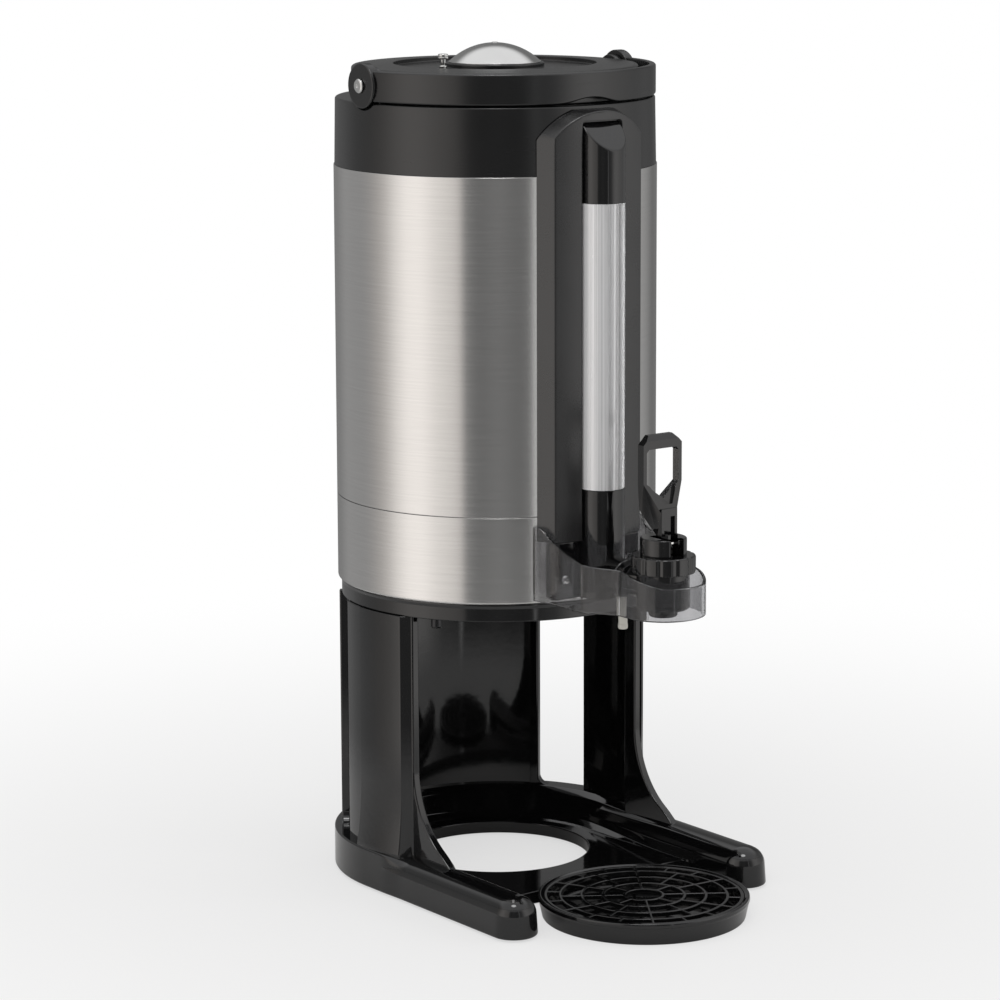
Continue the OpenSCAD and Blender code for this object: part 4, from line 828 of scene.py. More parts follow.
class DISPENSER_OT_gauge(Operator):
    """Builds the gauge's housing, clear cover, tube, clip, cap, sleeve, seals and drain plug"""
    bl_idname = "dispenser.gauge"
    bl_label = "Gauge"
    bl_options = {"REGISTER", "UNDO"}

    def housing(self):
        """A grid of rows round the arch and columns from the channel's middle over the face and the
        drafted side to the shell. In the arch a row is a ray from the arch's centre."""
        face_r, root_r, half, foot_half, arch_r = 120.0, 110.1, 35.8, 41.4, 42.0
        draft, kink, shoulder, back_y = 0.314, 35.03, 535.0, -109.9
        rays = np.radians(np.unique(np.concatenate([
            np.linspace(180, 180 - kink, 26), np.linspace(180 - kink, kink, 90),
            np.linspace(kink, 0, 26)]))[::-1])
        cosine, sine = np.cos(rays), np.sin(rays)
        front, rear = np.full(len(rays), arch_r), np.full(len(rays), arch_r + 3)
        # The side leans out by the draft times its distance behind the face, found by repeating
        for _ in range(8):
            front = arch_r + draft * (face_r - np.sqrt(face_r ** 2 - (front * cosine) ** 2))
            rear = arch_r + draft * (face_r - np.sqrt(root_r ** 2 - (rear * cosine) ** 2))
        flat = np.maximum(np.abs(cosine), 1e-9)
        front, rear = np.minimum(front, half / flat), np.minimum(rear, foot_half / flat)
        # The channel's outline: a straight-sided opening with rounded corners
        channel_half, channel_rise, corner_r = 16.4, 35.5, 3
        corner = np.array([channel_half - corner_r, channel_rise - corner_r])
        along = corner[0] * np.abs(cosine) + corner[1] * sine
        off = corner[0] * sine - corner[1] * np.abs(cosine)
        box = np.minimum(channel_half / flat, channel_rise / np.maximum(sine, 1e-9))
        from_top = np.abs(rays - np.pi / 2)
        at_corner = ((from_top < math.atan2(channel_half, corner[1]))
                     & (from_top > math.atan2(corner[0], channel_rise)))
        inner = np.where(at_corner, along + np.sqrt(np.maximum(corner_r ** 2 - off ** 2, 0)), box)
        leg = np.linspace(HOUSING_Z, ARCH_Z, 30)[:-1]

        def outline(radius, side):
            """Up one straight side, round the arch at a radius for each ray, and down the other."""
            bow = np.stack([radius * cosine, ARCH_Z + radius * sine], -1)
            left = np.stack([np.full(len(leg), -side), leg], -1)
            return np.concatenate([left, bow, left[::-1] * (-1, 1)])

        def at(plan, y):
            """Puts a front view's points at a depth."""
            return np.stack([plan[:, 0], np.broadcast_to(y, len(plan)), plan[:, 1]], -1)

        def on_cylinder(plan, radius):
            """Puts a front view's points on the front of a cylinder about the vessel's axis."""
            return at(plan, -np.sqrt(radius ** 2 - plan[:, 0] ** 2))

        channel, face = outline(inner, channel_half), outline(front, half)
        foot = outline(rear, foot_half)
        foot[:, 1] = np.minimum(foot[:, 1], shoulder)
        middle = np.stack([np.zeros(len(channel)), np.minimum(channel[:, 1], ARCH_Z)], -1)
        floor, centre = at(channel, CHANNEL_Y), at(middle, CHANNEL_Y)
        lip, brow = on_cylinder(channel, face_r), on_cylinder(face, face_r)
        root = on_cylinder(foot, root_r)
        span = [on_cylinder(channel + (face - channel) * share, face_r)[:, None]
                for share in np.linspace(0.12, 0.9, 7)]
        lip_curve = corner_curve(lip, floor, span[0][:, 0], 0.7)
        brow_curve = corner_curve(brow, span[-1][:, 0], root, 1.1, 6)
        floor_curve = corner_curve(floor, centre, lip, 0.5)
        side = [(brow + (root - brow) * share)[:, None] for share in (0.2, 0.6)]
        grid = np.concatenate([centre[:, None], floor_curve, lip_curve, *span, brow_curve, *side,
                               root[:, None], at(middle, back_y)[:, None]], 1)
        points, faces = surface(grid)
        index = np.arange(len(points)).reshape(grid.shape[:2])
        faces.append(index[0].tolist() + index[-1][::-1].tolist())
        return points, faces

    def execute(self, context):
        piece(context, "gauge_frame", [self.housing()], "housing", "gauge_housing", sharp=24.0)

        about = {"centre": (0, GLASS_Y)}
        inner, wing, clip_low, clip_top = COLUMN_R - 1.6, 13.6, 329.5, 337.5
        cover = np.concatenate([[(inner, CHANNEL_Y)], half_round(inner, 360, 180),
                                [(-inner, CHANNEL_Y), (-COLUMN_R, CHANNEL_Y)],
                                half_round(COLUMN_R, 180, 360), [(COLUMN_R, CHANNEL_Y)]])
        cover = slab(cover, SLEEVE_TOP, CAP_Z, 0.25)
        piece(context, "clear_cover", [cover], "cover", "gauge_cover")
        tube = rounded([(4.8, 276.5), (6, 276.5), (6, 482.5), (4.8, 482.5)], 0.35)
        piece(context, "glass_tube", [revolved(tube, 72, **about)], "tube", "gauge_glass")
        clip = rounded([(6.15, clip_low), (7.4, clip_low), (7.4, clip_top), (6.15, clip_top)], 0.35)
        wings = rounded([(wing, -117.5), (wing, -115.6), (-wing, -115.6), (-wing, -117.5)], 0.4)
        wings = slab(wings, clip_low, clip_top, 0.3)
        piece(context, "tube_clip", [revolved(clip, 64, **about), wings], "gloss", "glass_clip")

        def slant(plan):
            """The cap's top falls one for one towards the front."""
            return CAP_TOP + (plan[:, 1] - CHANNEL_Y + 0.5)

        column = np.concatenate([[(COLUMN_R, CHANNEL_Y), (-COLUMN_R, CHANNEL_Y)],
                                 half_round(COLUMN_R, 180, 360)])
        cap = slab(column, CAP_Z, slant, 0.8, low_edge=0.5)
        piece(context, "slanted_cap", [cap], "gloss", "gauge_cap")

        block_half, block_low, block_top = 35, 211.0, 249.8
        block = profile([(block_half, -104.9, 0), (-block_half, -104.9, 0),
                         (-block_half, CHANNEL_Y, 2.5), (block_half, CHANNEL_Y, 2.5)])
        boss = turned([(8.1, -147, 0.4), (12.5, -147, 1.4), (12.5, -117, 0), (8.1, -117, 0)], 96,
                      centre=(0.0, SHANK_Z), axis="Y")
        sleeve = [slab(column, block_low, SLEEVE_TOP, 0.7), slab(block, block_low, block_top, 0.9),
                  boss]
        piece(context, "sleeve_and_boss", sleeve, "gloss", "gauge_sleeve")

        rings = [rounded([(6.1, z), (7.3, z), (7.3, z + 1.8), (6.1, z + 1.8)], 0.5)
                 for z in (476.6, 280.6)]
        rings = [revolved(section, 48, **about) for section in rings]
        piece(context, "tube_seals", rings, "silicone", "glass_seals")
        stub_r, waist_r = 3.3, 3.05
        stub = turned([(0, 192, 0), (2.7, 192, 0.4), (stub_r, 192.7, 0.4), (stub_r, 195.2, 0.3),
                       (waist_r, 195.6, 0.2), (waist_r, 200.4, 0.2), (stub_r, 200.8, 0.3),
                       (stub_r, 214.4, 0.5), (2.4, 214.4, 0), (2.4, 218.4, 0.4), (0, 218.4, 0)],
                      40, centre=(0, -141.5), closed=False)
        piece(context, "drain_stub", [stub], "nylon", "drain_plug")
        return {"FINISHED"}


class DISPENSER_OT_tap(Operator):
    """Builds the shank and its nuts, the tap's body, bonnet and inner parts, and the spring"""
    bl_idname = "dispenser.tap"
    bl_label = "Tap"
    bl_options = {"REGISTER", "UNDO"}

    def bonnet(self, flutes):
        """The bonnet: a turned skirt with round flutes cut into its rim, each the near side of a
        circle about a point outside the rim, and a crown with a slot for the lever behind."""
        rim_r, flute_at, flute_r, count = 21.3, 22.4, 2, 420
        turn = np.radians(np.linspace(0, 360, count, endpoint=False))
        pitch = 2 * np.pi / flutes
        near = (turn % pitch) - pitch / 2
        off = flute_at * np.sin(near)
        cut = flute_at * np.cos(near) - np.sqrt(np.maximum(flute_r ** 2 - off ** 2, 0.0))
        cut = np.where(np.abs(off) < flute_r, np.minimum(cut, rim_r), rim_r)
        cut = evened(cut, np.ones(5), "wrap")
        skirt = profile([(7.5, BARREL_TOP, 0.3), (rim_r, BARREL_TOP, 0.6), (rim_r, CROWN_Z, 1.5),
                         (2.8, CROWN_Z, 0.2), (2.8, 247.3, 0), (7.5, 247.3, 0)], ease=0.6)
        skirts = np.broadcast_to(skirt, (count,) + skirt.shape).copy()
        skirts[..., 0] -= (rim_r - cut)[:, None] * smooth(skirt[:, 0], 17.5, 20.3)
        slot = 5.4
        front = math.degrees(math.asin(slot / CROWN_R))
        crown = np.concatenate([arc(CROWN_R, front - 90, 270 - front, 120),
                                [(-slot, 5.5), (slot, 5.5)]])
        radii = np.zeros(len(crown))
        radii[-2:] = 0.8
        crown = slab(rounded(crown, radii), 249.0, CROWN_TOP, 1.0)
        return [revolved(skirts, count, centre=(0.0, TAP_Y)), shifted(crown, y=TAP_Y)]

    def spring(self, turns_made, low, high, wire):
        """A helix whose pitch closes up towards its first and last turns."""
        turns = np.linspace(0, turns_made, 260)
        rise = smooth(turns, 0.4, turns_made - 0.4) * 0.35 + np.clip(
            (turns - 0.5) / (turns_made - 1), 0, 1) * 0.65
        lift = low + wire + (high - low - 2 * wire) * rise
        coil_r, turn = 6.0, turns * 2 * np.pi
        path = np.stack([coil_r * np.cos(turn), TAP_Y + coil_r * np.sin(turn), lift], -1)
        return tube_along(path, wire, 12)

    def execute(self, context):
        sizes = context.scene.dispenser_sizes
        lie = {"centre": (0.0, SHANK_Z), "axis": "Y"}
        about = {"centre": (0.0, TAP_Y)}
        bore_r, shank_r, nut_r, front_nut_r = 5, 8, 12.5, 13.0
        shank = turned([(bore_r, -167, 0), (shank_r, -168, 0.6), (shank_r, -85.8, 0.6),
                        (bore_r, -85.8, 0.4)], 72, **lie)
        piece(context, "hollow_shank", [shank], "bright", "tap_shank")
        hole = arc(8.1, 360, 0, 49)[:-1]
        nut = plate([rounded(arc(nut_r, 0, 300, 6), 1.2), hole], 0, 5, 0.6)
        nut = lying(shifted(nut, y=SHANK_Z), -92.8)
        piece(context, "inner_nut", [nut], "bright", "shank_nut")
        washer = rounded([(8.1, -97.3), (12, -97.3), (12, -92.9), (8.1, -92.9)], 0.7)
        piece(context, "inner_washer", [revolved(washer, 64, **lie)], "silicone", "shank_washer")
        nut = plate([rounded(arc(front_nut_r, 0, 315, 8), 1.4), hole], 0, 7, 0.8)
        nut = lying(shifted(nut, y=SHANK_Z), -154.2)
        piece(context, "front_nut", [nut], "gloss", "shank_collar")

        spout_r, lip_r, barrel_r, chamber_r, shoulder = 6, 9.5, 17.5, 12, 213.5
        barrel = turned([(spout_r, 208.5, 0.5), (8.6, 208.5, 0.5), (lip_r, 209.6, 0.6),
                         (lip_r, shoulder, 1.6), (barrel_r, shoulder, 2.2),
                         (barrel_r, BARREL_TOP, 0.4), (chamber_r, BARREL_TOP, 0.3),
                         (chamber_r, 219, 0.3), (spout_r, 219, 0.3)], 128, **about)
        neck = turned([(bore_r, -154.4, 0.4), (10.4, -154.4, 0.6), (10.4, -171.5, 0),
                       (bore_r, -171.5, 0)], 72, **lie)
        piece(context, "tap_barrel", [barrel, neck], "gloss", "tap_body")
        piece(context, "bonnet", self.bonnet(sizes.flutes), "gloss", "tap_bonnet")

        rod_r, disc_r = 2.5, 8
        stem = turned([(0, 223, 0), (rod_r, 223, 0.4), (rod_r, 231.2, 0.2), (disc_r, 231.2, 0.5),
                       (disc_r, 233.2, 0.5), (rod_r, 233.2, 0.3), (rod_r, 256.3, 0.5),
                       (0, 256.3, 0)], 56, closed=False, **about)
        piece(context, "valve_stem", [stem], "bright", "tap_stem", body="plunger")
        cross = turned([(0, -4.6, 0), (1.2, -4.6, 0.3), (1.2, 4.6, 0.3), (0, 4.6, 0)], 32,
                       centre=(TAP_Y, CROSS_Z), axis="X", closed=False)
        piece(context, "cross_pin", [cross], "bright", "stem_pin", body="plunger")
        cup = turned([(0, 219.3, 0), (9.5, 219.3, 1.0), (9.5, 223.3, 0.8), (5.5, 223.3, 0.8),
                      (5.5, 231.1, 0.4), (2.6, 231.1, 0.2), (2.6, 222.8, 0.2), (0, 222.8, 0)],
                     64, closed=False, **about)
        piece(context, "valve_cup", [cup], "silicone", "seat_cup", body="plunger")

        low, high, stroke = 233.4, 247.0, 4.2
        coil = self.spring(sizes.coils, low, high, 0.8)
        coil = piece(context, "return_spring", [coil], "bright", "tap_spring")
        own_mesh(coil)
        half = math.sqrt(CROWN_R ** 2 - (TAP_Y - LEVER_Y) ** 2) - 1
        pin = turned([(0, -half, 0), (1.9, -half, 0.6), (1.9, half, 0.6), (0, half, 0)], 40,
                     centre=(LEVER_Y, LEVER_Z), axis="X", closed=False)
        piece(context, "lever_pin", [pin], "bright", "handle_pin")
        return {"FINISHED"}


class DISPENSER_OT_lever(Operator):
    """Builds the tap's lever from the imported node: its corners merged, its edges rounded"""
    bl_idname = "dispenser.lever"
    bl_label = "Lever"
    bl_options = {"REGISTER", "UNDO"}

    def execute(self, context):
        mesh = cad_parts["tap_handle"].data.copy()
        work = bmesh.new()
        work.from_mesh(mesh)
        bmesh.ops.remove_doubles(work, verts=work.verts, dist=JOIN)
        bmesh.ops.dissolve_limit(work, angle_limit=math.radians(0.6),
                                 verts=work.verts, edges=work.edges)
        work.to_mesh(mesh)
        work.free()
        mesh.name = "lever"
        lever = place("lever", mesh, "tap_handle",
                      finishes(context.scene)["gloss"], ("tap_handle",))
        bevel = lever.modifiers.new("edges", "BEVEL")
        bevel.width, bevel.segments, bevel.limit_method = 0.45 * MM, 3, "ANGLE"
        bevel.angle_limit, bevel.harden_normals = math.radians(18), True
        return {"FINISHED"}


class DISPENSER_OT_guard(Operator):
    """Builds the smoke-tinted splash guard with its tabs, and its two screws"""
    bl_idname = "dispenser.guard"
    bl_label = "Splash guard"
    bl_options = {"REGISTER", "UNDO"}

    def wall(self):
        """The guard's wall: a thin section carried round the tap, whose top edge rises towards the
        vessel along a line of heights, evened with a bell of weights."""
        thick, nose_r, edge = 2.2, 28.0, 0.7
        side = np.array([(-44.2, -101.0, 0), (-44.2, -104.0, 3.0), (-41.5, -116.0, 6.0),
                         (-41.5, -150.0, 3.0), (-nose_r, -172.0, 4.0), (-nose_r, TAP_Y, 0)])
        nose = arc(nose_r, 180, 360, 61, (0, TAP_Y))[1:-1]
        rows = np.concatenate([side, np.column_stack([nose, np.zeros(len(nose))]),
                               side[::-1] * (-1, 1, 1)])
        path = spaced(profile(rows, 6, 0.6), 2.0)
        y = np.linspace(-215, -95, 481)
        top = np.interp(y, [-207, -201, -191, -172, -156, -132, -116, -108],
                        [231.5, 233.0, 236.0, 240.0, 240.5, 246.2, 252.85, 259.5])
        high = np.interp(path[:, 1], y, evened(top, np.hanning(25)))
        inset, depth = edge_steps(edge, 3)
        rise = np.concatenate([depth[::-1], -depth, -depth[::-1], depth])
        across = np.concatenate([inset[::-1], inset, thick - inset[::-1], thick - inset])
        on_top = np.repeat([0, 1, 1, 0], len(inset))
        sections = np.stack([np.broadcast_to(across, (len(path), len(across))),
                             np.where(on_top, high[:, None], GUARD_Z) + rise], -1)
        return surface(carried(path, sections), close_columns=True, row_caps=True)

    def tab(self, x, way):
        """A flat tab about a screw, longer on its outer side."""
        front, back, out, home = -117.9, -115.7, x + way * 9.2, x - way * 7
        outline = [(out, front), (out, back), (home, back), (home, front)][::way]
        return slab(rounded(outline, 0.6), 212.5, 236.5, 0.6)

    def execute(self, context):
        screw_x, screw_z = 29.0, 225.0
        tabs = [self.tab(screw_x, 1), self.tab(-screw_x, -1)]
        piece(context, "splash_guard", [self.wall(), *tabs], "smoke", "tap_guard")
        rows = [(0, -111.7, 0), (1.6, -111.7, 0.2), (1.6, -117.9, 0), (3.4, -117.9, 0.2),
                (3.4, -118.9, 0.6), (2.3, -119.9, 0.7), (1.0, -120.1, 0.2), (0.8, -119.2, 0.2),
                (0, -119.2, 0)]
        screws = [turned(rows, 40, centre=(x, screw_z), axis="Y", closed=False)
                  for x in (-screw_x, screw_x)]
        piece(context, "guard_fixings", screws, "bright", "guard_screws")
        return {"FINISHED"}


def flare_out(z, height=48.0, width=3.9):
    """How far the pillar's wall leans out above the rim: a quarter of a large circle."""
    radius = (height ** 2 + width ** 2) / (2 * width)
    up = np.clip(RIM_Z + height - z, 0.0, height)
    return radius - np.sqrt(radius ** 2 - up ** 2)


def fin_front(z, radius=60.0, end=62.0, slope=1.4):
    """How far forward the fin reaches at a height: a circle's arc, then its straight run."""
    flare_z, arc_drop = RIM_Z + radius, radius * math.sin(math.radians(end))
    drop = np.clip(flare_z - z, 0.0, arc_drop)
    run = np.clip(flare_z - arc_drop - z, 0.0, None)
    return radius - np.sqrt(radius ** 2 - drop ** 2) + run * slope


def stacked(plans, heights):
    """Stands a batch of plans up, one at each height, and closes the lowest and the highest."""
    height = np.broadcast_to(heights[:, None, None], plans.shape[:2] + (1,))
    return surface(np.concatenate([plans, height], -1), close_columns=True, row_caps=True)


def polar(radius, angle):
    """Points at a radius and an angle in radians, counted from the front towards +X."""
    return np.stack([radius * np.sin(angle), -radius * np.cos(angle)], -1)


class DISPENSER_OT_stand(Operator):
    """Builds the base and its arms, the pillars, the rear panel, the ring, screws and feet"""
    bl_idname = "dispenser.stand"
    bl_label = "Stand"
    bl_options = {"REGISTER", "UNDO"}

    def roll(self):
        """The roll that forms both arms and the rear rim: loops at growing distance from a
        U-shaped line, half turns about its ends, and heights that pass from the arms' section to
        the rim's."""
        back = arc(ARM_X, 0, 180, 121)
        run = np.linspace(ARM_END_Y, 0, 60)[:-1]
        line = np.concatenate([np.stack([np.full(len(run), ARM_X), run], -1), back,
                               np.stack([np.full(len(run), -ARM_X), run[::-1]], -1)])
        ahead = unit(np.gradient(line, axis=0))
        outward = np.stack([ahead[:, 1], -ahead[:, 0]], -1)
        half_turn = np.radians(np.linspace(0, 180, 33))[1:-1]
        start = np.stack([np.cos(half_turn), -np.sin(half_turn)], -1)
        spots = np.concatenate([line, np.repeat(line[-1:], len(start), 0), line[::-1],
                                np.repeat(line[:1], len(start), 0)])
        normal = np.concatenate([outward, start * (-1, 1), -outward[::-1], start[::-1]])
        outer = np.arange(len(spots)) < len(line)

        # Half sections from the line outwards, as rows of (offset, height, corner radius)
        low = (0, PLATE_LOW, 0)
        crest = [(14.8, 19.2, 11.0), (11.6, 24.4, 11.0), (5.5, 27.7, 14.0), (0, RIM_Z, 0)]
        halves = {
            "arm": [low, (16, PLATE_LOW, 1.6), (15.43, 10, 0.01), (15.3, 12, 0.01), *crest],
            "rim_out": [low, (16.5, PLATE_LOW, 1.6), (16.5, 10, 0.01), (16.5, 15, 0.01),
                        (16.5, 20.0, 0.01), (16.5, RIM_Z, 1.3), (2.6, RIM_Z, 2.0), (0, 27.0, 0)],
            "rim_in": [low, (19.5, PLATE_LOW, 0.3), (19.4, PLATE_TOP, 0.3), (13.6, 13.4, 6.0),
                       (10.95, 16.3, 0.01), (6.18, 21.52, 0.01), (3.0, 25.0, 3.0), (0, 27.0, 0)],
            "web": [low, (18.5, PLATE_LOW, 0.3), (18.4, PLATE_TOP, 0.3), (15.4, 10.4, 2.0), *crest]}
        arm, rim_out, rim_in, web = (profile(rows, 6, 0.03) for rows in halves.values())

        def along(first, last):
            """A share that passes from 0 to 1 between two places, for every loop."""
            return smooth(spots[:, 1], first, last)[:, None, None]

        inner = arm + (web - arm) * along(-122.0, -98.0)
        inner = inner + (rim_in - inner) * along(-80.0, 14.0)
        outside = arm + (rim_out - arm) * along(FIN_Y - 6, FIN_Y + 16)
        inner[:, -1] = outside[:, -1]
        section = np.where(outer[:, None, None], outside, inner)
        plan = spots[:, None] + normal[:, None] * section[..., :1]
        return surface(np.concatenate([plan, section[..., 1:]], -1), close_rows=True)

    def floor_plate(self):
        """The plate between the arms, with its round hole, cut back round the tray."""
        bay_r, bay_half, plate_half, hole_r = 70.5, 37.0, 92.0, 64.0
        bite = math.degrees(math.asin(bay_half / bay_r))
        bay = arc(bay_r, 90 - bite, 90 + bite, 41, (0, TRAY_Y))
        front = TRAY_Y + 60
        tip = bay_half + 0.4
        outline = np.concatenate([arc(plate_half, 0, 180, 91),
                                  [(-plate_half, front), (-tip, front)], bay[::-1],
                                  [(tip, front), (plate_half, front)]])
        return plate([outline, arc(hole_r, 360, 0, 145)[:-1]], PLATE_LOW, PLATE_TOP, 0.7)

    def pillar(self, edge):
        """The right pillar: its plan at each height, with the fin drawn forward and the wall
        leaning out towards the foot. A cut-back strip and the inner face close the plan."""
        inset, depth = edge_steps(0.7)
        z = np.unique(np.concatenate([np.linspace(20, 36, 9), np.linspace(36, 100, 44),
                                      np.linspace(100, RING_Z - 1.4, 8)]))
        inset = np.concatenate([np.zeros(len(z)), inset])
        z = np.concatenate([z, RING_Z - depth])
        lean, reach = flare_out(z), fin_front(np.maximum(z, RIM_Z))
        wall = np.radians(np.linspace(73, 95, 15))
        strip = np.radians(np.linspace(95.25, 107, 9))
        inner = np.radians(np.linspace(107, 76.5, 19))

        def flat(points):
            """The same points at every height."""
            return np.broadcast_to(points, (len(z),) + np.shape(points))

        fin_back = -25.4
        front = np.stack([np.broadcast_to([FIN_X0, FIN_X1], (len(z), 2)),
                          FIN_Y - reach[:, None] * [1, 1]], -1)
        outer = (PILLAR_R + lean)[:, None, None] * np.stack([np.sin(wall), -np.cos(wall)], -1)
        parts = [front, flat([(FIN_X1, FIN_Y + 0.7)]), outer, flat(polar(PILLAR_R - 0.8, strip)),
                 flat(polar(PILLAR_IN_R, inner)), flat([(98.6, fin_back), (FIN_X0, fin_back)])]
        radii = np.concatenate([[edge, edge, 1.5, 1.8], np.zeros(13), [0.35, 0.35], np.zeros(7),
                                [edge * 0.8, edge * 0.8], np.zeros(17), [1.2, 1.5, 1.6]])
        plans = rounded(np.concatenate(parts, 1), radii)
        return stacked(np.stack([offset(plan, step) for plan, step in zip(plans, inset)]), z)

    def panel(self, edge, corner):
        """The rear panel with its thicker edges, curving out into the windows' lower corners along
        quarter circles."""
        z = np.unique(np.concatenate([np.linspace(20, RIM_Z, 4),
                                      np.linspace(RIM_Z, RIM_Z + corner, 14),
                                      np.linspace(RIM_Z + corner, RING_Z - 1, 8)]))
        up = np.clip(RIM_Z + corner - z, 0, corner)
        grow = np.degrees((corner - np.sqrt(corner ** 2 - up ** 2)) / 106.0)
        # The plan: the outer face between two thick edges, then the inner face back. far is the
        # place in it of the far edge's outer corner
        first, last, count = 130.5, 229.5, 61
        start, end, far = 127, 233, count + 3
        spine = np.linspace(first, last, count)
        angle = np.concatenate([[start, first], spine, [last, end, end, last], spine[::-1],
                                [first, start]])
        thin_out, thin_in, thick_in = 107.6, 104.1, 103.1
        radius = np.concatenate([[PILLAR_R] * 2, np.full(count, thin_out), [PILLAR_R] * 2,
                                 [thick_in] * 2, np.full(count, thin_in), [thick_in] * 2])
        side, radii = np.zeros(len(angle)), np.zeros(len(angle))
        side[[0, -1]], side[[far, far + 1]] = -1, 1
        radii[[0, -1, far, far + 1]] = edge
        radii[[1, far - 1]], radii[[far + 2, -2]] = 0.8, 0.3
        at = np.radians(angle + side * grow[:, None])
        return stacked(rounded(polar(radius, at), radii), z)

    def execute(self, context):
        sizes = context.scene.dispenser_sizes
        edge = sizes.mould_edge / MM
        piece(context, "base", [self.roll(), self.floor_plate()], "gloss", "base_frame")
        right = self.pillar(edge)
        piece(context, "pillar_right", [right], "gloss", "right_pillar")
        piece(context, "pillar_left", [mirrored(right)], "gloss", "left_pillar")
        panel = self.panel(edge, sizes.window_corner / MM)
        piece(context, "rear_panel", [panel], "gloss", "back_panel")
        ring = turned([(88, RING_Z, 0.8), (107.5, RING_Z, 0.9), (107.5, 204, 1.5),
                       (108.3, 206, 0.6), (108.3, VESSEL_Z, 0.3), (88, VESSEL_Z, 0.5)], 288)
        piece(context, "carrying_ring", [ring], "gloss", "support_ring")

        rows = [(0, 188.9, 0), (0.9, 188.9, 0.2), (1.1, 188, 0.2), (3.0, 188.3, 0.8),
                (3.7, 189.4, 0.6), (3.7, RING_Z, 0), (1.95, RING_Z, 0), (1.95, 210.9, 0.3),
                (0, 210.9, 0)]
        spots = [(x * 87.252, y * 50.375) for x in (1, -1) for y in (1, -1)]
        screws = [turned(rows, 32, centre=spot, closed=False) for spot in spots]
        piece(context, "ring_fixings", screws, "screw", "vessel_screws")

        rows = [(0, 5.9, 0), (0.8, 5.9, 0.2), (1.0, 5.1, 0.2), (3.2, 5.1, 0.6), (3.2, 8, 0.2),
                (1.45, 8, 0), (1.45, 44.3, 0.3), (0, 44.3, 0)]
        screws_r, cos30 = 105.85, 0.8660254
        spots = [(x * screws_r, y * screws_r)
                 for x, y in ((1, 0), (-1, 0), (0.5, cos30), (-0.5, cos30))]
        screws = [turned(rows, 28, centre=spot, closed=False) for spot in spots]
        piece(context, "pillar_fixings", screws, "screw", "pillar_screws")

        rows = [(0, 0.5, 0), (5.2, 0.5, 0.2), (5.8, 0, 0.2), (8, 0, 0.9), (8, 4, 0.3), (0, 4, 0)]
        spots = [(x * side, y) for x, y in ((ARM_X, -145.0), (ARM_X, -35.0), (62.975, 77.86))
                 for side in (1, -1)]
        feet = [turned(rows, 40, centre=spot, closed=False) for spot in spots]
        piece(context, "feet", feet, "rubber", "rubber_feet")
        return {"FINISHED"}


class DISPENSER_OT_tray(Operator):
    """Builds the drip tray and its web grille"""
    bl_idname = "dispenser.tray"
    bl_label = "Drip tray"
    bl_options = {"REGISTER", "UNDO"}

    def grille(self):
        """A disc with an eye and four bands of openings: each a sector between two rings and two
        ribs, its corners rounded."""
        outer, step, eye, half_ring, half_rib, steps, begin = 67.0, 14.36, 12.9, 1, 0.8, 13, 57
        outlines = [arc(outer, 0, 360, 181)[:-1], arc(eye - half_ring, 360, 0, 61)[:-1]]
        for band, count in enumerate((8, 12, 12, 18)):
            low = eye + band * step + half_ring
            high = min(eye + (band + 1) * step - half_ring, outer - 2.4)
            low_gap, high_gap = (math.degrees(math.asin(half_rib / radius))
                                 for radius in (low, high))
            for k in range(count):
                first, last = begin + 360 * k / count, begin + 360 * (k + 1) / count
                hole = np.concatenate([arc(low, first + low_gap, last - low_gap, steps),
                                       arc(high, last - high_gap, first + high_gap, steps)])
                radii = np.zeros(len(hole))
                radii[[0, steps - 1, steps, -1]] = 0.9
                outlines.append(rounded(hole, radii, 3))
        return shifted(plate(outlines, 11.3, 14.3, 0.45), y=TRAY_Y)

    def execute(self, context):
        seat_r, seat_z = 67.3, 11.15
        tray = turned([(0, 0, 0), (68, 0, 1.2), (70.4, 11, 1.5), (71, 12.4, 0.8), (70.7, 15, 0.8),
                       (69, 15, 0.6), (seat_r, 14.2, 0.4), (seat_r, seat_z, 0.3), (64, seat_z, 0.6),
                       (62.5, 2, 1.5), (0, 2, 0)], 216, ease=0.6, centre=(0, TRAY_Y), closed=False)
        piece(context, "tray", [tray], "gloss", "drip_tray", body="tray")
        piece(context, "web_grille", [self.grille()], "gloss", "drip_grille", body="grille")
        return {"FINISHED"}


def put(name, data, columns):
    """Puts a lamp or camera into the scene, with its four columns of right, up, back and place."""
    thing = bpy.data.objects.new(name, data)
    bpy.context.scene.collection.objects.link(thing)
    thing.matrix_world = Matrix(np.vstack([np.column_stack(columns), (0, 0, 0, 1)]).tolist())
    return thing


